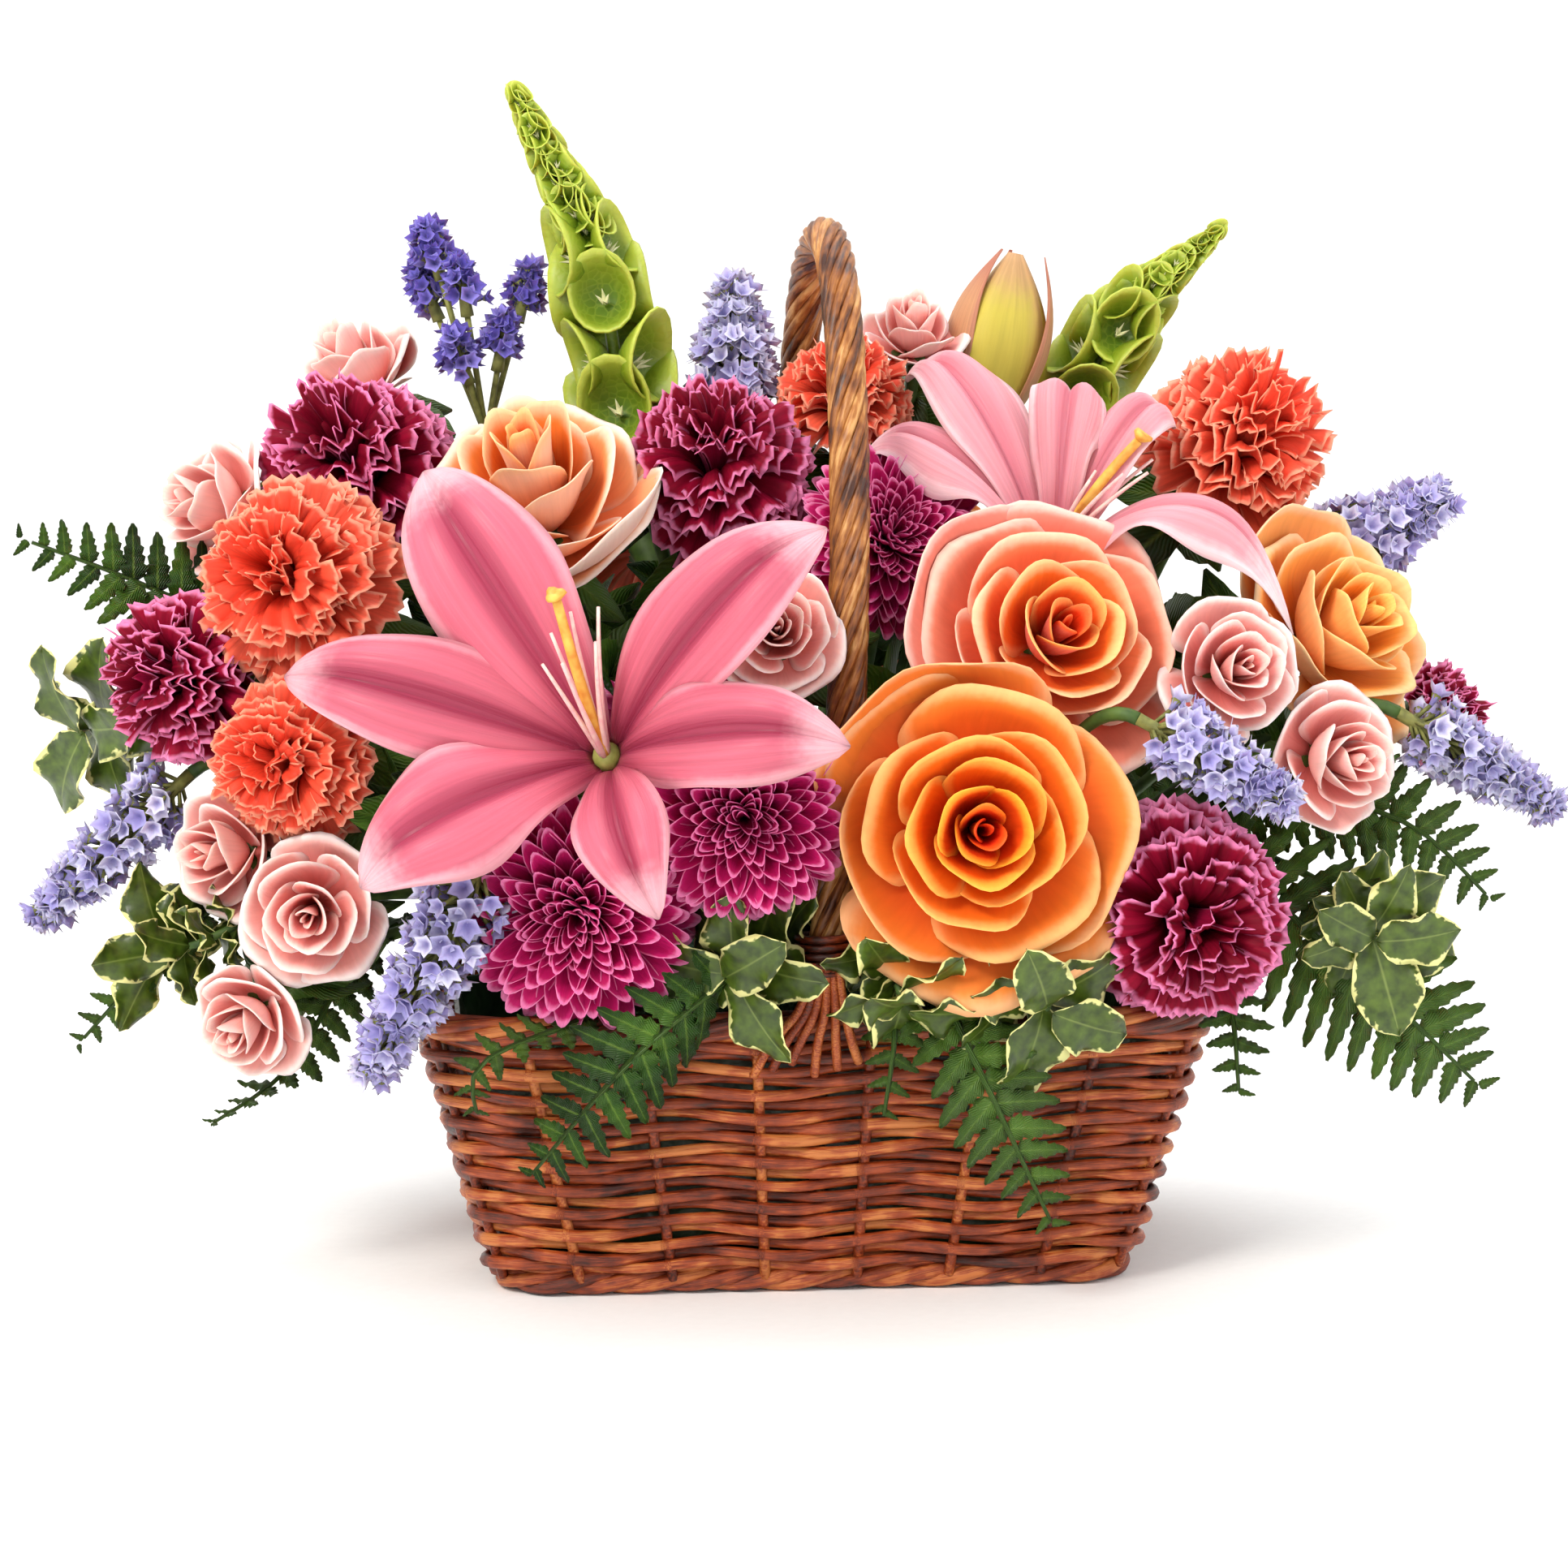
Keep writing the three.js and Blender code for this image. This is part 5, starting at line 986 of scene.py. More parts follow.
for name, petals, root, face, colour, slot, long, sweep in (
    ("lily_front", LILY_FRONT, (-58, -96, 175), (-0.2, -0.88, 0.42), lily_petals, "lily", 51, (0.6, 34)),
    ("lily_back", LILY_BACK, (80, -22, 224), (0, -0.3, 0.95), pale_lily, "lily_pale", 42, (26, 5)),
):
    roots[name] = (np.array(root, float), np.array(face, float))
    sheets, throat = lily(petals, len(name))
    piece(name + "_petals", [standing(s, root, face) for s in sheets], colour, name)
    piece(name + "_throat", standing(throat, root, face), green_throat)
    stalks, pistil = stamens(long, sweep, 5)
    piece(name + "_filaments", [standing(s, root, face) for s in stalks], filament,
          name + "_stamens" if name == "lily_front" else ())
    piece(name + "_pistil", [standing(s, root, face) for s in pistil], pistil_skin)
print("lilies:", sum(t for _, t in made[-8:]), "triangles")

# %% [markdown]
# The lily bud is still shut: a green spindle of three ridges with three outer petals wrapped along it, pink
# where they begin to part.
# %% The lily bud
def bud(length, radius):
    """Rings whose radius swells with a sine of the height and bulges three times round, and three blades
    that lie on them, as wide as a sine of the height and leaning more to one side toward the tip. The first
    one parts from the bud with the fourth power of the height."""
    rings, sides = 22, 18
    t = np.linspace(-0.02, 1, rings)[:, None]
    angle = TURN * np.arange(sides)[None] / sides
    swell = radius * (0.1 + 0.9 * np.sin(np.pi * np.minimum(1, 0.08 + 0.9 * np.clip(t, 0, 1)) ** 1.1))
    r = swell * (1 + 0.12 * np.cos(3 * angle))
    points = np.stack([r * np.cos(angle), r * np.sin(angle), length * t + 0 * angle], -1)
    marks = np.zeros((rings, sides, len(MARKS)))
    marks[..., 0], marks[..., 1], marks[..., 2], marks[..., 3] = angle / TURN, np.clip(t, 0, 1), 0.2, 0.5
    body = points.reshape(-1, 3), ring_quads(rings, sides), marks.reshape(-1, len(MARKS))
    k = np.array([-0.2, 1.6, 3.5])[:, None, None]
    u, v = np.linspace(-1, 1, 9)[None, None, :], np.linspace(0, 1, 20)[None, :, None]
    angle = k + u * 0.6 * np.sin(np.pi * (0.2 + 0.75 * v)) + 0.2 * v
    r = radius * (0.16 + 0.96 * np.sin(np.pi * np.minimum(1, 0.08 + 0.86 * v) ** 1.1)) + 0 * angle
    r = r + 4.5 * v**4 * (k < 0)
    outer = np.stack([r * np.cos(angle), r * np.sin(angle), length * (0.02 + 0.99 * v) + 0 * angle], -1)
    return [body, blades(outer, 0.9, 0.8, [0.2, 0.5, 0.9])]


bud_skin = petal_finish(
    "lily_bud_skin", inner=("#c4b44a", "#c49a66", "#b87c66"), outer=("#c8b84c", "#c0866c"),
    rim_tones_and_highlight=("#c9a070", "#b06a5c"), deep="#8fa03c", rim_width=0.2, streak=0.2, glow=0.1, root=0.5)
roots["lily_bud"] = (np.array((58, 44, 258.0)), np.array((0.2, 0, 1.0)))
piece("lily_bud_petals", [standing(s, *roots["lily_bud"]) for s in bud(64, 15)], bud_skin, "lily_bud")

# %% [markdown]
# ## Statice and bells of Ireland
# Statice keeps its colour when dry, because what we see is a papery calyx, a pleated funnel, and not the
# small flower in it. Hundreds of them crowd a branched stalk, so one funnel of a few dozen faces is made
# and set down many times.
# %% Statice
STATICE = {
    "statice_1": ((-21, 24, 266), (-21, 24, 312), 18),
    "statice_2": ((-196, -27, 157), (-247, -31, 109), 15),
    "statice_3": ((-96, -98, 142), (-134, -102, 72), 17),
    "statice_4": ((172, 36, 220), (213, 34, 243), 18),
    "statice_5": ((106, -88, 184), (152, -98, 160), 15),
    "statice_6": ((192, -33, 178), (243, -30, 147), 14),
}
# radius, height and share of the waving, up the outside of a funnel 1 wide and 1 high and down its inside
FUNNEL = [(0.1, 0, 0), (0.14, 0.3, 0.1), (0.28, 0.66, 0.3), (0.58, 0.96, 1)]
FUNNEL += [(0.52, 0.93, 1), (0.22, 0.66, 0.3), (0.05, 0.45, 0)]
papery_funnel = cup(FUNNEL, 10, 5, 0.16)
bract = cup([(0.55 * r, z, s) for r, z, s in FUNNEL], 6)


def statice_spray(length, radius, florets, seed, size=6.2, top=0.66):
    """Floret k stands at k golden angles and at an even height; it leans out by a rise that grows with the
    height, and its foot lies behind its mouth on that line. Green bracts, the same funnel made slim, hold
    each from below."""
    chance = np.random.default_rng(seed)
    t = (np.arange(florets) + 0.5) / florets
    angle = GOLDEN_ANGLE * np.arange(florets) + chance.uniform(-0.4, 0.4, florets)
    rise = mix(0.25, 1.05, t**1.5) + chance.uniform(-0.25, 0.25, florets)
    reach = radius * mix(1.0, top, t) * chance.uniform(0.62, 1.04, florets)
    way = np.stack([np.cos(angle) * np.cos(rise), np.sin(angle) * np.cos(rise), np.sin(rise)], -1)
    mouth = way * reach[:, None] + [0, 0, 1] * (length * mix(0.04, 0.84, t))[:, None]
    big = size * chance.uniform(0.8, 1.15, florets)
    foot = mouth - way * (big * 0.98)[:, None]
    funnels = scattered(papery_funnel, foot, way, angle, big, chance.random(florets), t)
    base = mouth - way * (big * 1.25)[:, None]
    bracts = scattered(bract, base, way, angle, big * 0.85, chance.random(florets))
    axis = np.linspace([0, 0, -4.0], [0, 0, length * 0.9], 6)
    twigs = np.stack([[0, 0, 1] * (length * 0.8 * t)[:, None], base + way * 2], 1)
    return funnels, [bracts, rods(axis[None], np.linspace(2.2, 1.2, 6), 6), rods(twigs, 0.7, 4)]


def papery_finish(name, colours, dark):
    """Dry calyx: thin, crinkled and matt, each floret a little different, with painted shade deep in the
    funnel, so that it is paler toward its rim."""

    def recipe(tree):
        mark = marks_of(tree)
        place = add(tree, "TexCoord", give="Object")
        crinkle = add(tree, "TexNoise", {"Vector": place, "Scale": 900.0, "Detail": 3.0})
        both = add(tree, "Math", {0: crinkle, 1: 0.45, 2: mark["chance"]}, operation="MULTIPLY_ADD")
        tone = add(tree, "ValToRGB", {0: both}, stops=list(zip((0.15, 0.7, 1.3), colours)))
        # painted shade: deep in the funnel the colour darkens toward the dark colour
        deep = add(tree, "MapRange", {0: mark["along"], 1: 0.1, 2: 0.9, 3: 0.8, 4: 0.0})
        tone = add(tree, "Mix", {"Factor": deep, "A": tone, "B": dark}, data_type="RGBA")
        return {"Base Color": tone, "Height": crinkle}

    return finish(name, recipe, 0.3, Roughness=0.8, Sheen_Weight=0.2,
                  Subsurface_Weight=0.1, Subsurface_Scale=0.002)


lavender = papery_finish("lavender_calyx", ("#9b93cf", "#b4aede", "#d9d5f0"), "#7066a8")
pale_lavender = papery_finish("pale_lavender_calyx", ("#a59fd0", "#bdb8e0", "#d8d5ee"), "#7268aa")
violet_blue = papery_finish("violet_blue_calyx", ("#46389a", "#5f53b6", "#857ad0"), "#2c2268")
olive_bract = finish("olive_bracts", plain_recipe("#5a5c2a", "#90924c", 4.0), 0.2, Roughness=0.7)
for number, (name, (foot, tip, radius)) in enumerate(STATICE.items()):
    axis = np.subtract(tip, foot)
    roots[name] = (np.array(foot, float), axis.astype(float))
    florets, bracts = statice_spray(np.linalg.norm(axis), radius, 190 if radius > 15 else 150, 20 + number)
    paper = pale_lavender if number in (0, 5) else lavender
    piece(name + "_florets", standing(florets, foot, axis), paper, name)
    piece(name + "_bracts", [standing(b, foot, axis) for b in bracts], olive_bract)

BLUE_FOOT = (-102, 30, 262)
BLUE_TIPS = ((-121, 30, 330), (-110, 24, 319), (-124, 36, 316))
BLUE_TIPS += ((-112, 20, 296), (-95, 26, 301), (-87, 36, 316))
roots["blue_statice"] = (np.array(BLUE_FOOT, float), np.array((0, 0, 1.0)))
heads, greens = [], []
for number, tip in enumerate(BLUE_TIPS):
    neck = np.array(tip) - 14 * unit(np.array(tip, float) - BLUE_FOOT)
    axis = np.array(tip, float) - neck
    florets, bracts = statice_spray(np.linalg.norm(axis), 8.5, 34, 70 + number, 5.2, 0.8)
    heads.append(standing(florets, neck, axis))
    greens += [standing(b, neck, axis) for b in bracts]
    greens.append(rods(np.linspace(BLUE_FOOT, neck, 4)[None], 1.0, 6))
piece("blue_statice_florets", heads, violet_blue, "blue_statice")
piece("blue_statice_bracts", greens, olive_bract)
print("statice:", sum(t for _, t in made[-14:]), "triangles")

# %% [markdown]
# Each bell of Ireland is a green shell-shaped calyx as thin as paper, with a small white flower deep in it.
# They stand in whorls, wide below and closing to a point above. One cup with five soft lobes is scaled for
# them all.
# %% Bells of Ireland
BELLS = {
    "bells_of_ireland_1": ((-56, 18, 264), (-90, 20, 371), (7, 0, 3), 27),
    "bells_of_ireland_2": ((90, 64, 268), (137, 60, 326), (-2, 0, 5), 23),
}
SHELL = [(0.05, 0, 0), (0.16, 0.03, 0), (0.3, 0.12, 0.15), (0.41, 0.27, 0.4), (0.48, 0.42, 0.75)]
SHELL += [(0.53, 0.5, 1), (0.5, 0.52, 1), (0.45, 0.42, 0.75), (0.37, 0.28, 0.4), (0.26, 0.15, 0.15)]
SHELL += [(0.13, 0.08, 0), (0.03, 0.06, 0)]
shell = cup(SHELL, 18, 2, 0.06, 0.28)
HEART = [(0.03, 0.1, 0), (0.06, 0.2, 0), (0.1, 0.36, 0.3), (0.13, 0.45, 1), (0.06, 0.42, 0.4), (0.02, 0.3, 0)]
heart = cup(HEART, 8, 4, 0.3)


def bell_spike(start, end, lean, size, levels, seed):
    """Four whorls of wide bells stand up to half of the stem, and a crowd of small ones above them. The
    bells face out and up, more so near the tip, and the long lip of each mouth is the one next to the
    stem."""
    chance = np.random.default_rng(seed)
    line = smooth_line([start, np.add(start, end) / 2 + lean, end], 60)
    tangent = unit(np.gradient(line, axis=0))
    t = np.concatenate([np.linspace(0.04, 0.5, 4), np.linspace(0.57, 0.985, levels)])
    count = np.where(t < 0.55, 3, 5)
    who = np.repeat(np.arange(len(t)), count)
    nth = np.concatenate([np.arange(c) for c in count])
    t = t[who] + chance.uniform(-0.03, 0.012, len(who))
    i = np.round(np.clip(t, 0, 1) * (len(line) - 1)).astype(int)
    side = unit(np.cross([0.0, 1, 0], tangent[i]))
    over = np.cross(tangent[i], side)
    angle = who * np.pi / 3 + 0.5 + TURN * nth / count[who] + chance.uniform(-0.2, 0.2, len(who))
    toward = side * np.cos(angle)[:, None] + over * np.sin(angle)[:, None]
    toward = toward + tangent[i] * (mix(0.35, 1.2, t**1.5) + chance.uniform(-0.2, 0.2, len(who)))[:, None]
    big = size * np.where(t < 0.54, 1.0 - 0.3 * t, mix(0.6, 0.24, (t - 0.5) * 2))
    big = big * chance.uniform(0.85, 1.1, len(who))
    at = line[i] + unit(toward) * (0.12 * big)[:, None]
    turned = tilt(toward)
    lip = np.arctan2((turned[:, :, 1] * tangent[i]).sum(-1), (turned[:, :, 0] * tangent[i]).sum(-1))
    bells = scattered(shell, at, toward, lip, big, chance.random(len(who)))
    hearts = scattered(heart, at, toward, angle, big * 0.6, chance.random(len(who)))
    return bells, hearts, rods(line[None, ::3], np.linspace(2.6, 1.0, 20), 8)


def shell_recipe(tree):
    """Lime green that pales to the rim and darkens toward the root by painted shade inside the shell, with a
    net of veins some 3 mm apart drawn by the edges of cells.
    """
    mark = marks_of(tree)
    place = add(tree, "TexCoord", give="Object")
    veins = add(tree, "TexVoronoi", {"Vector": place, "Scale": 330.0}, feature="DISTANCE_TO_EDGE")
    net = add(tree, "MapRange", {0: veins, 1: 0.0, 2: 0.12, 3: 0.35, 4: 0.0})
    # painted shade: the darker green at the root of each shell
    greens = [(0.0, "#52700c"), (0.5, "#7e9418"), (0.97, "#b6c446")]
    tone = add(tree, "ValToRGB", {0: mark["along"]}, stops=greens)
    tone = add(tree, "Mix", {"Factor": net, "A": tone, "B": "#98aa36"}, data_type="RGBA")
    value = add(tree, "MapRange", {0: mark["chance"], 3: 0.85, 4: 1.08})
    tone = add(tree, "HueSaturation", {"Value": value, "Color": tone})
    return {"Base Color": tone, "Height": veins}


green_shell = finish("green_bell_shells", shell_recipe, 0.2,
                     Roughness=0.45, Subsurface_Weight=0.2, Subsurface_Scale=0.003)
white_heart = finish("small_white_flowers", plain_recipe("#cdd08e", "#e9e6bc"), 0.1, Roughness=0.6)
for number, (name, (start, end, lean, size)) in enumerate(BELLS.items()):
    roots[name] = (np.array(start, float), np.subtract(end, start).astype(float))
    bells, hearts, stalk = bell_spike(start, end, lean, size, 9 - 2 * number, 90 + number)
    piece(name + "_shells", [bells, stalk], green_shell, name)
    piece(name + "_hearts", hearts, white_heart)
print("bells:", sum(t for _, t in made[-4:]), "triangles")

# %% [markdown]
# ## The greenery
# Leather fern is dark and glossy: its leaflets stand in pairs along a rib, each cut into lobes. Variegated
# pittosporum has small wavy leaves, green with a cream margin, crowded at the end of each twig. Fronds and
# twigs leave the foam inside the basket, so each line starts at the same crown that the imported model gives
# it.
# %% Fern fronds
# for each group: its crown, then its fronds, each with the points it runs through, the width and the way
# across
FERNS = {
    "fern_left": ((-78, 18, 110), (
        ([(-150, 6, 184), (-205, -4, 215), (-252, -20, 236)], 20, (0.2, 0.1, 1)),
        ([(-147, -23, 142), (-197, -37, 108), (-232, -50, 72)], 13, (1, 0, 0.5)),
        ([(-134, -24, 108), (-162, -46, 68), (-187, -74, 54)], 12, (1, 0, 0.3)),
        ([(-140, 50, 150), (-185, 70, 168), (-215, 82, 150)], 20, (0.2, -0.8, 0.6)))),
    "fern_right": ((78, 2, 110), (
        ([(130, -34, 130), (176, -56, 100), (217, -62, 62)], 27, (0.5, 0.1, 1)),
        ([(140, -20, 150), (190, -36, 146), (222, -42, 118)], 17, (0.6, 0.2, 1)),
        ([(115, -28, 112), (133, -56, 96), (136, -82, 64)], 12, (1, 0.1, 0)),
        ([(130, 50, 146), (176, 66, 158), (208, 72, 138)], 20, (0.3, 0.8, 0.5)))),
    "fern_front": ((-8, -42, 110), (
        ([(-23, -91, 106), (-51, -104, 84), (-86, -98, 42)], 17, (0.35, 0, 1)),
        ([(38, -80, 108), (50, -95, 88), (80, -91, 24)], 17, (1, 0.1, 0)),
        ([(-66, -92, 94), (-98, -110, 82), (-98, -101, 62)], 9, (1, 0.1, 0)),
        ([(25, -75, 107), (29, -91, 94), (25, -97, 60)], 9, (1, 0.1, 0)))),
    "fern_back": ((10, 42, 110), (
        ([(30, 84, 112), (62, 102, 92), (84, 106, 52)], 18, (1, 0.1, 0)),
        ([(-30, 84, 112), (-66, 106, 92), (-92, 110, 50)], 18, (1, 0.1, 0)),
        ([(90, 60, 160), (122, 84, 190), (150, 98, 196)], 20, (0.2, -0.3, 1)))),
}


def frond(points, width, across, seed):
    """The rib is bare for its first third. From there leaflets leave it in pairs 8 mm apart, forward by
    four tenths of their length. Half their width is a falling power of the way out, cut into six lobes by a
    saw-tooth along it, and they droop with the square of it."""
    chance = np.random.default_rng(seed)
    line = smooth_line(points, 160)
    run = np.linalg.norm(np.diff(line, axis=0), axis=1).sum()
    tangent = unit(np.gradient(line, axis=0))
    bare = 0.35
    pairs = int(run * (1 - bare) / 8)
    t = np.repeat(bare + (0.99 - bare) * (np.arange(pairs) + 0.3) / pairs, 2)
    way = np.tile([1.0, -1.0], pairs)
    t = t + 0.012 * (way > 0)
    i = np.clip(t * (len(line) - 1), 0, len(line) - 1).astype(int)
    side = unit(np.array(across, float) - (tangent[i] @ np.array(across, float))[:, None] * tangent[i])
    normal = np.cross(side, tangent[i])
    share = (t - bare) / (1 - bare)
    reach = width * np.sin(np.pi * (0.22 + 0.78 * np.clip(share, 0, 1)) ** 0.9) ** 0.8 + 2.0
    odd = chance.uniform(-1, 1, (4, len(t), 1, 1))
    out = unit(side * way[:, None] + tangent[i] * 0.42)
    edge = np.cross(normal, out)
    u, v = np.linspace(-1, 1, 3)[None, None, :], np.linspace(0, 1, 25)[None, :, None]
    reach = reach[:, None, None] * (1 + 0.08 * odd[0]) * 1.08
    lobes = 0.68 + 0.32 * ((6 * v + 0.3) % 1)
    half = np.minimum(0.32 * reach, 6.0) * (1.02 - v) ** 0.6 * np.clip(0.35 + 5 * v, 0, 1) * lobes
    ripple = 0.05 * np.sin(17 * v + 6 * odd[2]) * np.abs(u)
    bend = reach * (-0.16 * v**2 + 0.1 * odd[1] * v + ripple) + 0.2 * half * u**2
    sheets = line[i][:, None, None] + out[:, None, None] * (reach * v + 0 * u)[..., None]
    sheets = sheets + edge[:, None, None] * (half * u)[..., None] + normal[:, None, None] * bend[..., None]
    leaflets = blades(sheets, 0.6, share, chance.random(len(t)))
    return leaflets, rods(line[None, ::8], np.linspace(1.9, 0.6, 20), 6)


def fern_recipe(tree):
    """Dark leathery green, lighter along the vein in the middle of each leaflet, with side veins 1.5 mm
    apart."""
    mark = marks_of(tree)
    off = off_middle(tree, mark)
    slant = add(tree, "Math", {0: off, 1: -0.9, 2: mark["along"]}, operation="MULTIPLY_ADD")
    phase = add(tree, "Math", {0: slant, 1: 75.0}, operation="MULTIPLY")
    veins = add(tree, "Math", {0: phase}, operation="SINE")
    middle = add(tree, "MapRange", {0: off, 1: 0.0, 2: 0.08, 3: 0.55, 4: 0.0})
    place = add(tree, "TexCoord", give="Object")
    patch = add(tree, "TexNoise", {"Vector": place, "Scale": 45.0, "Detail": 2.0})
    both = add(tree, "Math", {0: mark["chance"], 1: 0.4, 2: patch}, operation="MULTIPLY_ADD")
    tone = add(tree, "ValToRGB", {0: both}, stops=[(0.35, "#142a08"), (0.7, "#294a0f"), (0.95, "#4b701c")])
    tone = add(tree, "Mix", {"Factor": middle, "A": tone, "B": "#6e8c34"}, data_type="RGBA")
    under = add(tree, "MapRange", {0: mark["inside"], 3: 0.5, 4: 0.0})
    tone = add(tree, "Mix", {"Factor": under, "A": tone, "B": "#4f6b2a"}, data_type="RGBA")
    return {"Base Color": tone, "Height": veins}


HOLE_FLOOR = 70.5  # a hair above the floor of the holes in the foam
leather_fern = finish("leather_fern", fern_recipe, 0.12, Roughness=0.42, Specular_IOR_Level=0.3,
                      Subsurface_Weight=0.05, Subsurface_Scale=0.002)
green_stem = finish("cut_green_stems", plain_recipe("#2b4614", "#4d6a26", 6.0), 0.2, Roughness=0.6)
for number, (name, (crown, fronds)) in enumerate(FERNS.items()):
    shapes = [s for k, (to, width, across) in enumerate(fronds)
              for s in frond([crown, *to], width, across, 100 + 10 * number + k)]
    foot = np.linspace((*crown[:2], HOLE_FLOOR), crown, 4)
    piece(name + "_fronds", [*shapes, rods(foot[None], 2.8, 8)], leather_fern, name)
print("ferns:", sum(t for _, t in made[-4:]), "triangles")

# %% Pittosporum twigs
PITTOSPORUM = {
    "pittosporum_left": ((-82, -6, 110), (
        ([(-154, -8, 158), (-212, 2, 175), (-232, -14, 170)], 34, 25, 0.9, 17),
        ([(-149, -38, 124), (-189, -56, 110), (-204, -42, 104)], 28, 20, 0.5, 15),
        ([(-96, 34, 104), (-92, 74, 102), (-86, 104, 106)], 32, 24, 0.4, 15))),
    "pittosporum_front": ((22, -40, 110), (
        ([(11, -63, 116), (-11, -81, 114), (-24, -102, 108)], 32, 23, 0.0, 17),
        ([(24, -81, 117), (28, -97, 109), (33, -106, 98)], 28, 21, 0.7, 16),
        ([(54, -68, 113), (68, -86, 105), (77, -102, 97)], 32, 25, 0.2, 16))),
    "pittosporum_right": ((76, 30, 110), (
        ([(136, -2, 132), (172, -42, 122), (178, -76, 114)], 27, 20, 0.3, 14),
        ([(110, 56, 136), (128, 74, 150), (134, 80, 156)], 34, 24, 0.0, 15),
        ([(62, 72, 126), (44, 88, 120), (34, 98, 114)], 30, 22, 0.0, 14))),
}


def leafy_twig(points, length, width, turn, leaves, seed):
    """Leaf k sits a little further back and a golden angle round. Its half width is a sine of the way
    along, its height a rise less a square, and its margin waves with a sine along it, all growing with the
    square across."""
    chance = np.random.default_rng(seed)
    line = smooth_line(points, 90)
    run = np.linalg.norm(np.diff(line, axis=0), axis=1).sum()
    tangent = unit(np.gradient(line, axis=0))
    k = np.arange(leaves)
    i = np.clip((1 - (0.5 + 2.6 * k) / run) * (len(line) - 1), 0, len(line) - 1).astype(int)
    odd = chance.uniform(-1, 1, (4, leaves, 1, 1))
    long = (length * mix(0.85, 1.1, (k % 3) / 2) * (1 - 0.02 * k))[:, None, None] * (1 + 0.2 * odd[0])
    u, v = np.linspace(-1, 1, 9)[None, None, :], np.linspace(0, 1, 12)[None, :, None]
    half = width * 0.4 * long / length * np.sin(np.pi * v**0.9) ** 0.62 * (1 + 0.12 * odd[1]) + 0.9 * (1 - v)
    wave = 3.1 * np.sin(11 * v + 6 * odd[2] + 1.5 * np.sign(u)) * u**2 * np.sin(np.pi * v) ** 0.5
    height = 0.42 * long * v - (0.3 + 0.08 * odd[3]) * long * v**2 + 0.02 * half**2 * u**2 + wave
    x, y, z = np.broadcast_arrays(0.3 + long * v, u * half, height - 0.6 * np.exp(-((u / 0.15) ** 2)))
    c, s = (f(turn + GOLDEN_ANGLE * k)[:, None, None] for f in (np.cos, np.sin))
    local = np.stack([x * c - y * s, x * s + y * c, z], -1)
    sheets = np.einsum("kij,krcj->krci", tilt(tangent[i]), local) + line[i][:, None, None]
    wood = rods(line[None, ::5], np.linspace(1.9, 1.2, 18), 6)
    return blades(sheets, 0.6, 0.5, chance.random(leaves)), wood


def variegated_recipe(tree):
    """Grey-green in the middle and cream at the margin; the border between them is ragged, at about 2 mm."""
    mark = marks_of(tree)
    off = off_middle(tree, mark)
    place = add(tree, "TexCoord", give="Object")
    ragged = add(tree, "TexNoise", {"Vector": place, "Scale": 260.0, "Detail": 2.0})
    both = add(tree, "Math", {0: ragged, 1: 0.4, 2: off}, operation="MULTIPLY_ADD")
    cream = add(tree, "MapRange", {0: both, 1: 0.63, 2: 0.66})
    leaf = add(tree, "ValToRGB", {0: ragged}, stops=[(0.3, "#2a3c08"), (0.7, "#4e6416")])
    middle = add(tree, "MapRange", {0: off, 1: 0.0, 2: 0.03, 3: 0.6, 4: 0.0})
    leaf = add(tree, "Mix", {"Factor": middle, "A": leaf, "B": "#829248"}, data_type="RGBA")
    tone = add(tree, "Mix", {"Factor": cream, "A": leaf, "B": "#dedb90"}, data_type="RGBA")
    value = add(tree, "MapRange", {0: mark["chance"], 3: 0.85, 4: 1.08})
    tone = add(tree, "HueSaturation", {"Value": value, "Color": tone})
    return {"Base Color": tone, "Height": ragged}


variegated = finish("variegated_pittosporum", variegated_recipe, 0.15,
                    Roughness=0.38, Subsurface_Weight=0.06, Subsurface_Scale=0.002)
for number, (name, (crown, twigs)) in enumerate(PITTOSPORUM.items()):
    shapes, wood = [], [rods(np.linspace((*crown[:2], HOLE_FLOOR), crown, 4)[None], 2.8, 8)]
    for k, (to, length, width, turn, leaves) in enumerate(twigs):
        leafy, twig = leafy_twig([crown, *to], length, width, turn, leaves, 200 + 10 * number + k)
        shapes.append(leafy)
        wood.append(twig)
    piece(name + "_leaves", shapes, variegated, name)
    piece(name + "_twigs", wood, green_stem)
print("pittosporum:", sum(t for _, t in made[-6:]), "triangles")

# %% [markdown]
# ## The stems
# Every bloom stands on a stem that leaves it backwards, bends over the rim and goes down to the middle of
# its third of the foam. Most of it can't be seen from the front, but it shows from above and behind.
# %% Stems and hips
MEETS = {"stems_left": (-52, 2, 114), "stems_middle": (0, 0, 114), "stems_right": (52, 2, 114)}
MIDDLE_THIRD = 78  # blooms this far to either side, or nearer, belong to the middle


def flower_stem(root, toward, meets, count=24):
    """A cubic curve from the root, by a point behind it at 0.22 of the way and one over the foam, to where
    the stems meet. The point behind stays above the border."""
    lowest, over_foam = 108, 120
    t = np.linspace(0, 1, count)[:, None]
    meets = np.array(meets, float)
    away = root - unit(toward) * 0.22 * np.linalg.norm(root - meets)
    away[2] = max(away[2], lowest)
    over = np.array([*mix(meets[:2], root[:2], 0.3), over_foam])
    return (1 - t) ** 3 * root + 3 * (1 - t) ** 2 * t * away + 3 * (1 - t) * t**2 * over + t**3 * meets


def third(root):
    """The name of the bunch that a bloom's stem joins."""
    if abs(root[0]) <= MIDDLE_THIRD:
        return "stems_middle"
    return "stems_left" if root[0] < 0 else "stems_right"


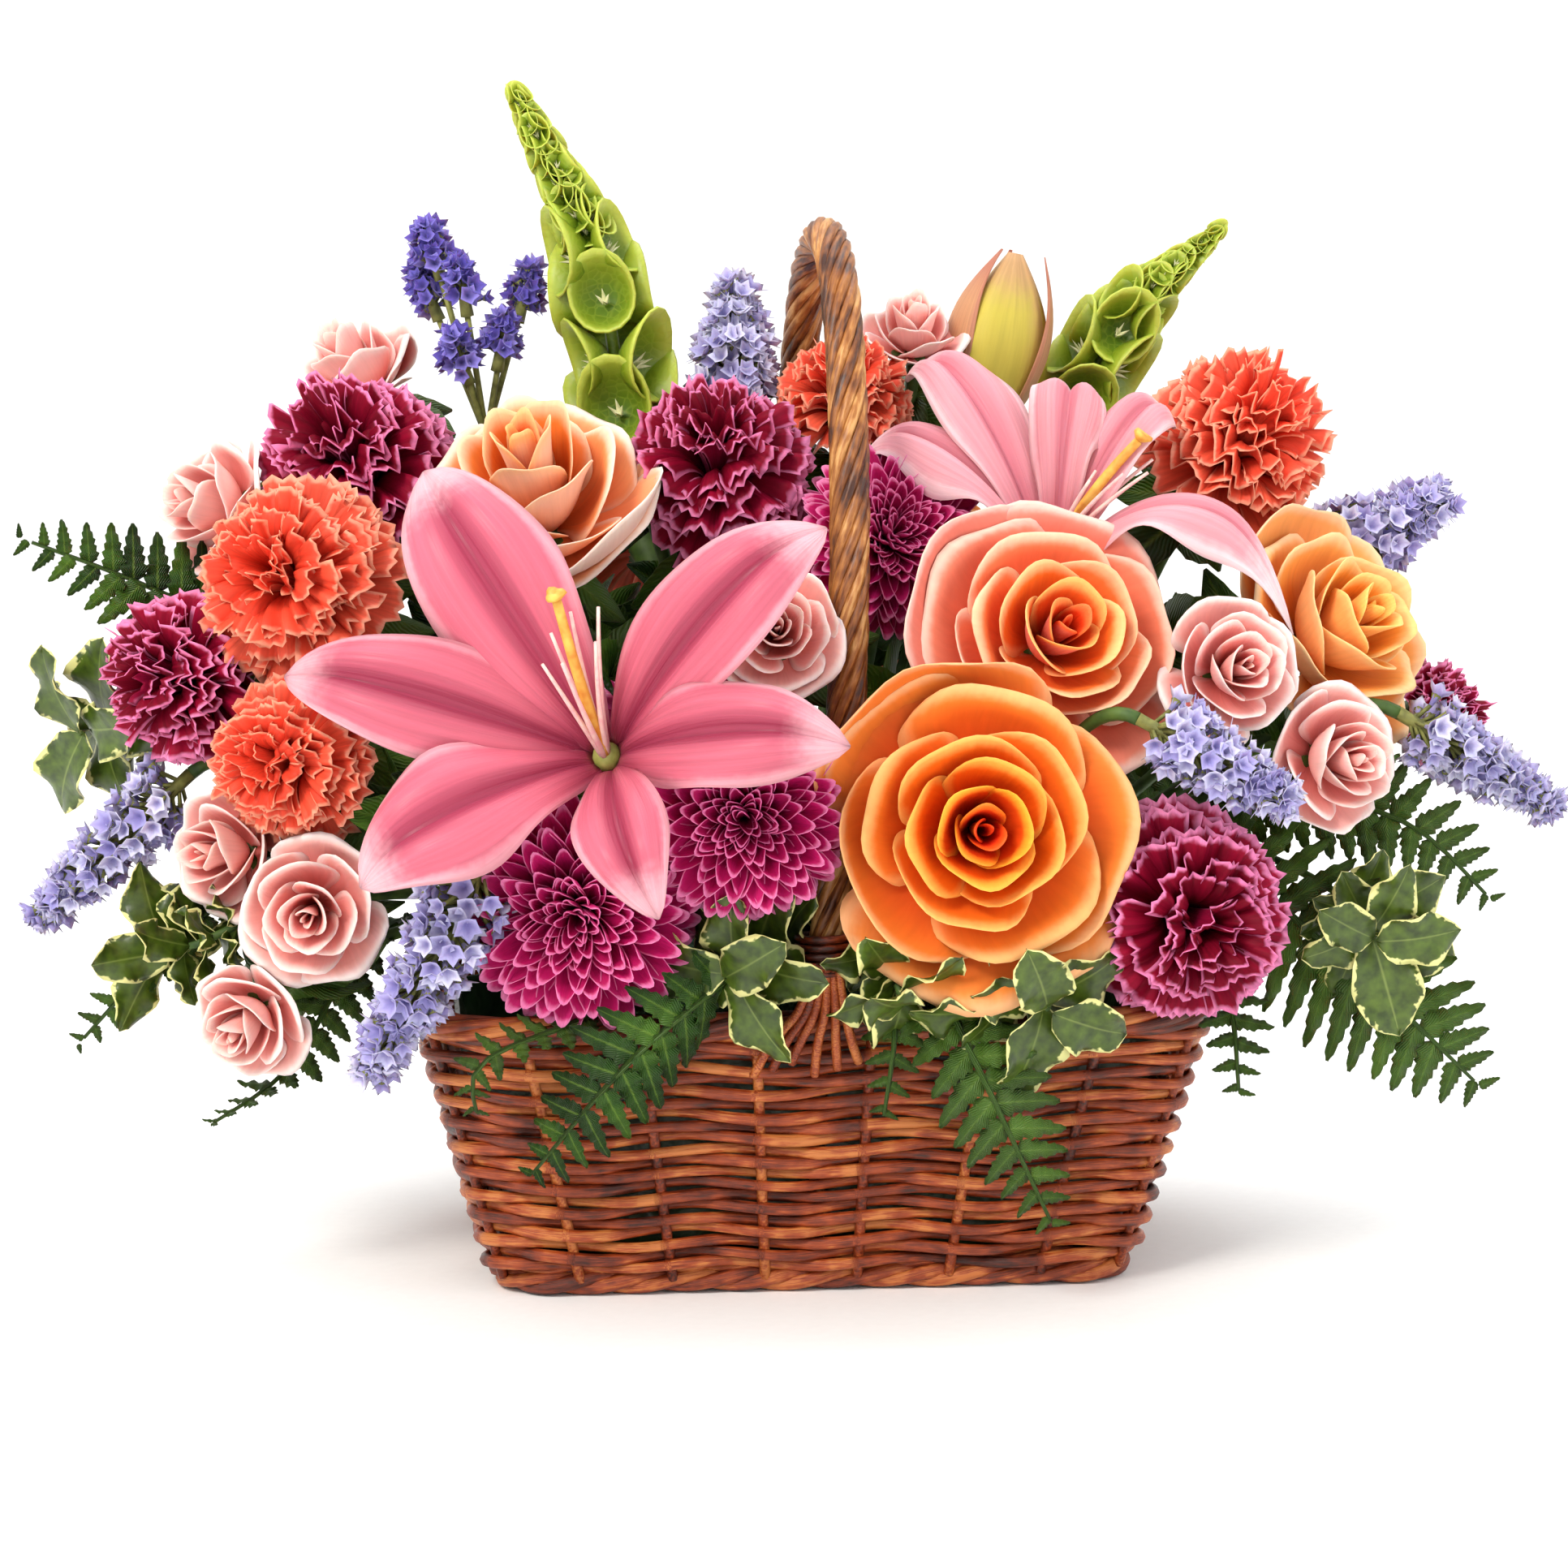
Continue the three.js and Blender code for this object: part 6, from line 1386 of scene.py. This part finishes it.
for name, meets in MEETS.items():
    here = [(root, toward) for root, toward in roots.values() if third(root) == name]
    lines = np.array([flower_stem(root - 4 * unit(toward), toward, meets) for root, toward in here])
    knot = [(1, -8, 0), (8, -7, 0.4), (11, -4, 1), (12, 1, 1), (8, 8, 1), (1, 11, 0)]
    foot = np.linspace((*meets[:2], HOLE_FLOOR), meets, 4)
    stalks = rods(lines, np.linspace(2.2, 1.9, lines.shape[1]), 8)
    parts = [stalks, standing(cup(knot, 14, 7, 0.14), meets, (0, 0, 1)), rods(foot[None], 5.8, 10)]
    piece(name + "_cut", parts, green_stem, name)
piece("hips_and_sepals", hips, green_stem)


def collar_leaf():
    """One pointed leaf, 1 long: half its width is a sine of a power of the way along, it arches with the
    square of that, folds up along its middle and has a toothed margin."""
    u, v = np.linspace(-1, 1, 5)[None, :], np.linspace(0, 1, 11)[:, None]
    half = 0.25 * np.sin(np.pi * v**0.75) ** 0.9 * (1 - 0.08 * (np.arange(11)[:, None] % 2)) + 0.02
    sheet = np.stack(np.broadcast_arrays(u * half, 0.12 * np.abs(u) * half * 4 - 0.22 * v**2, v + 0 * u), -1)
    return blades(sheet[None], 0.02)


COLLARED = ("rose", "spray", "coral", "burgundy", "chrysanthemum", "lily_front")
TUFTS = [
    (-60, -40, 192), (30, -30, 178), (-20, 6, 210), (62, 22, 196), (-104, 4, 196), (114, 2, 196),
    (2, 60, 190), (-70, 50, 188), (104, 52, 178), (150, 20, 190), (-150, 20, 200), (-120, -60, 150),
    (20, -60, 150), (88, 38, 112), (92, -6, 110), (-88, 38, 112), (-92, -20, 112), (-34, 60, 110),
    (34, 60, 110), (64, 58, 120),
]


def leaf_collars(each=7):
    """Leaves round the stem of every rounded bloom, just behind it, and tufts of them in the depth between
    blooms. Leaf k leaves the stem at k golden angles, outward and back on a collar and outward and up in a
    tuft, at a length that a dice gives."""
    chance = np.random.default_rng(300)
    behind = [stem for name, stem in roots.items() if name.startswith(COLLARED)]
    upright = [(tuft, (0, -0.3, 1)) for tuft in TUFTS]
    root, toward = (np.repeat(np.array(part), each, axis=0) for part in zip(*behind, *upright))
    toward = unit(toward)
    k = np.arange(len(root))
    collar = k < each * len(behind)
    rise = np.where(collar, chance.uniform(-0.7, -0.05, len(k)), chance.uniform(0.2, 1.6, len(k)))
    local = np.stack([np.cos(GOLDEN_ANGLE * k), np.sin(GOLDEN_ANGLE * k), rise], -1)
    way = np.einsum("kij,kj->ki", tilt(toward), local)
    at = root - toward * np.where(collar, chance.uniform(4, 24, len(k)), 0)[:, None]
    long = chance.uniform(24, 36, len(k))
    return scattered(collar_leaf(), at, way, GOLDEN_ANGLE * k, long, chance.random(len(k)))


piece("stem_leaves", leaf_collars(), leather_fern)
print("stems:", sum(t for _, t in made[-4:]), "triangles;", len(roots), "blooms stand on them")

# %% [markdown]
# ## The photograph
# The basket was seen from 1.5 m away through a long lens, nine degrees above level and five degrees to the
# left of straight on. The floor is a pale sheet that curves up far away on every side, so that no horizon
# shows. Light is a large soft window high at the front left, a weaker one at the right, and a bright pale
# room.
# %% Camera
FAR, HIGH, ROUND = 1.5, math.radians(9), math.radians(-5)
AIM_HEIGHT, AIM_LEFT = 0.152, 0.005
right = np.array([math.cos(ROUND), math.sin(ROUND), 0])
back = np.array([math.sin(ROUND) * math.cos(HIGH), -math.cos(ROUND) * math.cos(HIGH), math.sin(HIGH)])
spot = [0, 0, AIM_HEIGHT] - AIM_LEFT * right + FAR * back
lens = bpy.data.cameras.new("portrait_lens")
lens.lens, lens.sensor_width, lens.clip_start, lens.clip_end = 106.5, 36, 0.05, 60
camera = bpy.data.objects.new("portrait_camera", lens)
camera.location = spot
camera.rotation_euler = (math.pi / 2 - HIGH, 0, ROUND)
bpy.context.scene.collection.objects.link(camera)
bpy.context.scene.camera = camera
print("camera at", np.round(spot, 3))


# %% Floor and room
def pale_sheet(reach, bend, high, columns=64, steps=15):
    """A profile turned about Z: level from the middle, a quarter circle up, and straight up. Its middle is
    a small ring closed by a fan of quads, so that no view from any side finds an edge."""
    t = np.linspace(0, np.pi / 2, steps)
    r = np.concatenate([[0.02, 0.5, 2.0], reach - bend + bend * np.sin(t), [reach]])
    z = np.concatenate([[0, 0, 0], bend - bend * np.cos(t), [high]])
    angle = TURN * np.arange(columns)[None] / columns
    points = np.stack([r[:, None] * np.cos(angle), r[:, None] * np.sin(angle), z[:, None] + 0 * angle], -1)
    k = np.arange(columns // 2 - 1)
    middle = np.stack([k, k + 1, columns - 2 - k, columns - 1 - k], -1)
    return points, np.concatenate([grid_quads(len(r), columns, round_columns=True), middle])


points, quads = pale_sheet(reach=3.7, bend=1.3, high=4.5)
sheet_mesh = bpy.data.meshes.new("pale_paper_sheet")
sheet_mesh.from_pydata(points.reshape(-1, 3).tolist(), [], quads.tolist())
sheet_mesh.polygons.foreach_set("use_smooth", np.ones(len(quads), bool))
backdrop = bpy.data.objects.new("pale_paper_sheet", sheet_mesh)
bpy.context.scene.collection.objects.link(backdrop)


def paper_recipe(tree):
    """White paper with a tooth too fine to see, drawn at 4 mm so that it isn't quite flat."""
    place = add(tree, "TexCoord", give="Object")
    tooth = add(tree, "TexNoise", {"Vector": place, "Scale": 250.0, "Detail": 2.0})
    tone = add(tree, "ValToRGB", {0: tooth}, stops=[(0.3, "#fafaf9"), (0.7, "#fdfdfc")])
    return {"Base Color": tone}


sheet_mesh.materials.append(finish("white_paper", paper_recipe, Roughness=0.9))

# %% Lights
def window(name, at, size, watts, colour, aim=(0, 0, 0.16)):
    """A soft rectangular light that faces the basket."""
    lamp = bpy.data.lights.new(name, "AREA")
    lamp.shape, lamp.size, lamp.size_y = "RECTANGLE", *size
    lamp.energy, lamp.color = watts, linear(colour)[:3]
    item = bpy.data.objects.new(name, lamp)
    item.location = at
    item.rotation_euler = (Vector(aim) - Vector(at)).to_track_quat("-Z", "Y").to_euler()
    bpy.context.scene.collection.objects.link(item)


window("window_front_left", (-1.3, -1.7, 1.9), (0.9, 0.9), 52, "#fffaf2")
window("window_right", (2.0, -1.1, 1.1), (1.4, 1.4), 11, "#f6f8ff")
window("window_above", (0.2, 0.6, 2.4), (2.0, 1.6), 30, "#ffffff")
world = bpy.data.worlds.new("pale_room")
world.use_nodes = True
world.node_tree.nodes["Background"].inputs["Color"].default_value = linear("#f4f5f7")
world.node_tree.nodes["Background"].inputs["Strength"].default_value = 0.9
bpy.context.scene.world = world
bpy.context.scene.view_settings.view_transform = "Standard"

# %% Sizes, and the end
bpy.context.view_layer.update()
largest = max(made, key=lambda m: m[1])
print(len(made), "pieces,", sum(t for _, t in made), "triangles; the largest is", largest)
